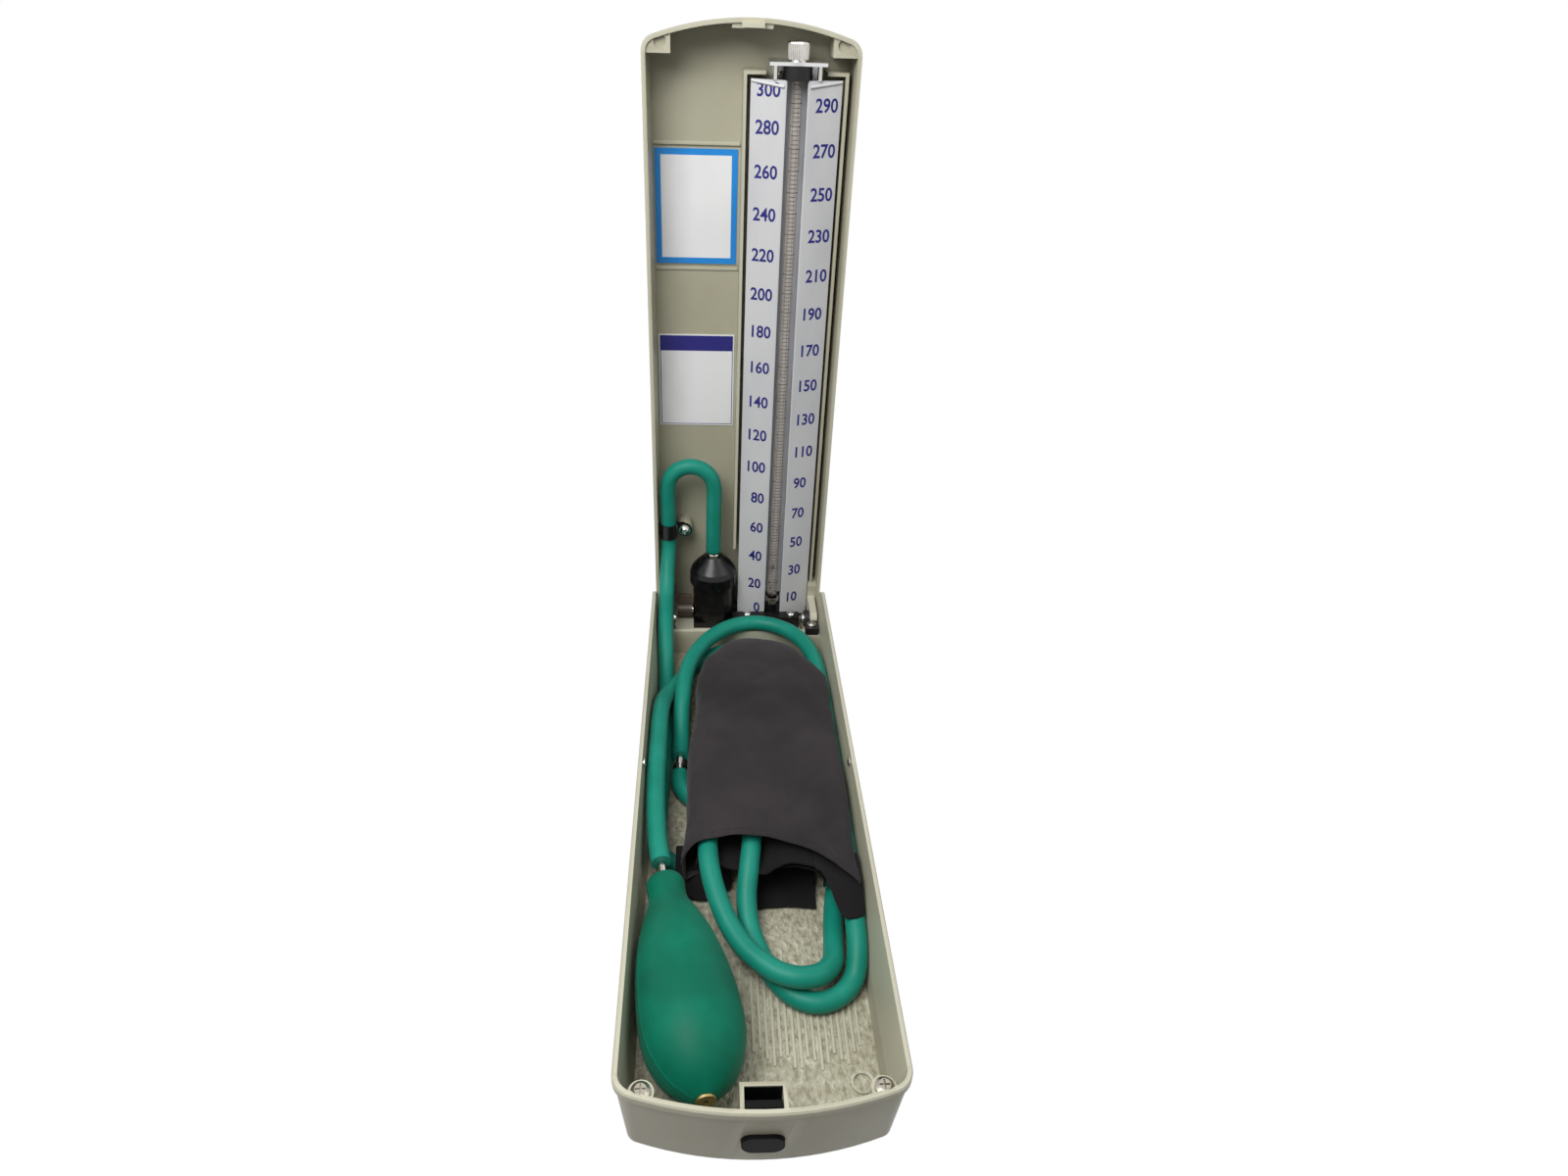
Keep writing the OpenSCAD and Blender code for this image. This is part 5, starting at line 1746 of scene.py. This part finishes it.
    def drape(
        self, name: str, place: Callable[[float, float], Point], rows: int, columns: int, thickness: float,
    ) -> Piece:
        """Makes a loose end of an inner turn from a sheet of points.

        Args:
            name: The piece's name.
            place: The point in millimetres at two shares, across and from the free edge inwards.
            rows: Points from the free edge inwards.
            columns: Points across.
            thickness: The cloth's thickness in millimetres.

        Returns:
            The loose end.
        """
        points = [place(j / (columns - 1), i / (rows - 1)) for i in range(rows) for j in range(columns)]
        uv = [(p[0] * MM, p[1] * MM) for p in points]
        piece = new_object(name, points, grid_faces(rows, columns), uv)
        thicken(piece, thickness)
        # Loose ends take the darker copy of the cloth, as painted shade.
        self.dress(piece, Look.CUFF_LINING, Slot.CLOTH)
        return piece

    def inner_end(self, u: float, v: float) -> Point:
        """The folded inner end that lies on the tray's floor.

        Args:
            u: Share of the way across.
            v: Share of the way in from the free edge.

        Returns:
            The point in millimetres.
        """
        left, wide, rear = -1.5, 31, -18
        x = left + wide * u
        edge = -56.5 + 2.5 * math.sin(u * 3) + 3 * (u - 0.5) ** 2
        y = edge + (rear - edge) * v
        z = 4.0 + 5.2 * ease(v, 0.05, 0.9) + 0.5 * noise.noise(Vector((x * 0.1, y * 0.1, 0)))
        return (x, y, z + 2.2 * ease(u, 0.75, 1.0) * ease(v, 0.0, 0.5))

    def right_flap(self, u: float, v: float) -> Point:
        """The drooping corner under the outer turn, over the two hoses on the right.

        Args:
            u: Share of the way across.
            v: Share of the way in from the free edge.

        Returns:
            The point in millimetres.
        """
        left, wide, rear = 27.5, 19.6, -44
        x = left + wide * u
        edge = -55 - 20.5 * ease(u, 0.05, 0.6) + 2.0 * ease(u, 0.8, 1.0)
        y = edge + (rear - edge) * v
        z = 27.9 + 1.6 * (1 - ease(u, 0.1, 0.6)) - 5.6 * ease(-y, 57, 75)
        return (x, y, z + 0.35 * math.sin(u * 9 + 1.5) * (1 - v))

    def left_flap(self, u: float, v: float) -> Point:
        """The loose corner on the left that covers the hose loop under the mouth.

        Args:
            u: Share of the way across.
            v: Share of the way in from the free edge.

        Returns:
            The point in millimetres.
        """
        left, wide, rear = -33.5, 25.5, -27
        x = left + wide * u
        edge = -50.5 + 5.5 * ease(u, 0.35, 1.0) + 1.4 * math.sin(u * 7)
        y = edge + (rear - edge) * v
        z = 13.2 + 1.2 * ease(v, 0.3, 1.0) - 8.6 * (1 - ease(v, 0.0, 0.42))
        return (x, y, z + 0.4 * math.sin(u * 8) * (1 - v))

    def bladder(self) -> Piece:
        """Makes the rubber bladder inside, with its two necks.

        Returns:
            The bladder.
        """
        points: list[Vector] = []
        sides, rows, front, length = 32, 20, -13.5, 108
        middle, level, half_width, half_height = 3, 26.7, 26, 4.2
        for i in range(rows):
            t = i / (rows - 1)
            w = min(1.0, 0.35 + 4 * t) * min(1.0, 0.35 + 4 * (1 - t))
            for k in range(sides):
                a = 2 * math.pi * k / sides
                x = middle + half_width * squared(math.cos(a), 0.5) * (0.9 + 0.1 * w)
                z = level + half_height * squared(math.sin(a), 0.8) * w
                points.append(Vector((x, front + length * t, z)))
        parts = [new_object("bladder_body", points, ring_faces(rows, sides, flip=True))]
        for x in (-19, 1):
            neck = [Vector((x, -24 + 4 * step, 27)) for step in range(4)]
            parts.append(tube_mesh("bladder_neck", neck, 3.7, 20))
        piece = joined("cuff_bladder_skin", parts)
        self.dress(piece, Look.BLADDER_GREEN, Slot.BLADDER)
        return piece

    def build(self) -> None:
        """Makes every layer, the bladder and the stitches, and hides the solids they stand for."""
        outer = self.layer(self.outer)
        layers = [outer, *(self.layer(turn) for turn in self.inner), self.roll()]
        layers.append(self.drape("cuff_inner_end", self.inner_end, 14, 30, self.end_cloth))
        layers.append(self.drape("cuff_right_flap", self.right_flap, 22, 16, self.loose_cloth))
        layers.append(self.drape("cuff_left_flap", self.left_flap, 18, 18, self.loose_cloth))
        bladder = self.bladder()
        self.stitches(outer)
        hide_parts("cuff_wrap")
        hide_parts("cuff_bladder")


@dataclass(frozen=True)
class Lamp:
    """One soft square lamp, with its place and side in metres and its power in watts."""

    name: str
    place: Point
    size: float
    power: float


@dataclass
class Studio:
    """The camera, the pale floor and the soft lights."""

    # Focal length, frame and principal point in pixels of the whole frame.
    focal: float = 992.37
    frame_size: tuple[float, float] = (1600.0, 1200.0)
    principal: tuple[float, float] = (765.07, 614.72)
    sensor: float = 36.0
    stand: Point = (-20.55, -339.49, 354.76)
    right: Point = (0.99893, -0.03647, 0.02839)
    up: Point = (-0.00361, 0.55082, 0.83462)
    ahead: Point = (0.04607, 0.83383, -0.5501)
    # Where the lamps point, in metres.
    aim: Point = (0, 0.05, 0.08)
    floor_half: float = 3000.0
    backdrop_share: float = 0.86
    backdrop_glow: float = 1.15
    ambient: float = 0.3
    lamps: tuple[Lamp, ...] = (
        Lamp("key", (-0.2, -0.22, 0.6), 0.36, 4.1),
        Lamp("fill", (0.9, -0.25, 1.0), 0.7, 2.4),
        Lamp("rim", (0.3, 0.9, 1.0), 0.6, 1.6),
    )

    def camera(self) -> None:
        """Stands the camera where the photograph was taken from."""
        wide, high = self.frame_size
        data = bpy.data.cameras.new("camera")
        data.sensor_width = self.sensor
        data.lens = self.sensor * self.focal / wide
        data.shift_x = (wide / 2 - self.principal[0]) / wide
        data.shift_y = (self.principal[1] - high / 2) / wide
        data.clip_start, data.clip_end = 0.01, 20
        camera = linked("camera", data)
        turn = Matrix((Vector(self.right), Vector(self.up), -Vector(self.ahead))).transposed().to_4x4()
        camera.matrix_world = Matrix.Translation(at(*self.stand)) @ turn
        bpy.context.scene.camera = camera

    def hang(self, lamp: Lamp) -> None:
        """Hangs a lamp so that it faces the object.

        Args:
            lamp: The lamp.
        """
        data = bpy.data.lights.new(lamp.name, "AREA")
        data.size, data.energy = lamp.size, lamp.power
        light = linked(lamp.name, data)
        light.location = lamp.place
        facing = Vector(self.aim) - Vector(lamp.place)
        light.rotation_euler = facing.to_track_quat("-Z", "Y").to_euler()

    def floor(self) -> None:
        """Lays the pale floor, which keeps the object's shadow."""
        half = self.floor_half
        corners = [(-half, -half, 0), (half, -half, 0), (half, half, 0), (-half, half, 0)]
        piece = new_object("studio_floor", corners, [(0, 1, 2, 3)], smooth=False)
        bench = NodeBench(bpy.data.materials.new("floor_paper"))
        bench.surface(Base_Color=(0.12, 0.12, 0.12), Roughness=0.9)
        paper = bench.nodes["Principled BSDF"].outputs["BSDF"]
        glow = bench.node("Emission", Strength=self.backdrop_glow).outputs["Emission"]
        blend = bench.node("MixShader", Fac=bench.both(bench.backdrop(), self.backdrop_share))
        bench.feed(paper, blend.inputs[1])
        bench.feed(glow, blend.inputs[2])
        bench.feed(blend.outputs["Shader"], bench.nodes["Material Output"].inputs["Surface"])
        piece.data.materials.append(bench.owner)

    def world(self) -> None:
        """Sets the even light all round and the white background."""
        bench = NodeBench(bpy.data.worlds.new("world"))
        strength = bench.ramp(bench.backdrop(), 0, 1, self.ambient, 1.0)
        bench.feed_all(bench.nodes["Background"], {"Color": (1, 1, 1), "Strength": strength})
        bpy.context.scene.world = bench.owner

    def build(self) -> None:
        """Sets up the whole studio."""
        self.camera()
        self.floor()
        self.world()
        for lamp in self.lamps:
            self.hang(lamp)
        bpy.context.scene.view_settings.view_transform = "Standard"
        LOG.info("set up the studio")


def main() -> None:
    """Builds the studio and then every sub-assembly in order."""
    logging.basicConfig(level=logging.INFO, format="%(message)s")
    finishes = Finishes()
    finishes.build()
    Studio().build()
    for assembly in (Tubing, HardParts, Case, ReturnSpring, Labels, Scale, FillerCap, Bulb, Cuff):
        assembly(finishes).build()


if __name__ == "__main__":
    main()
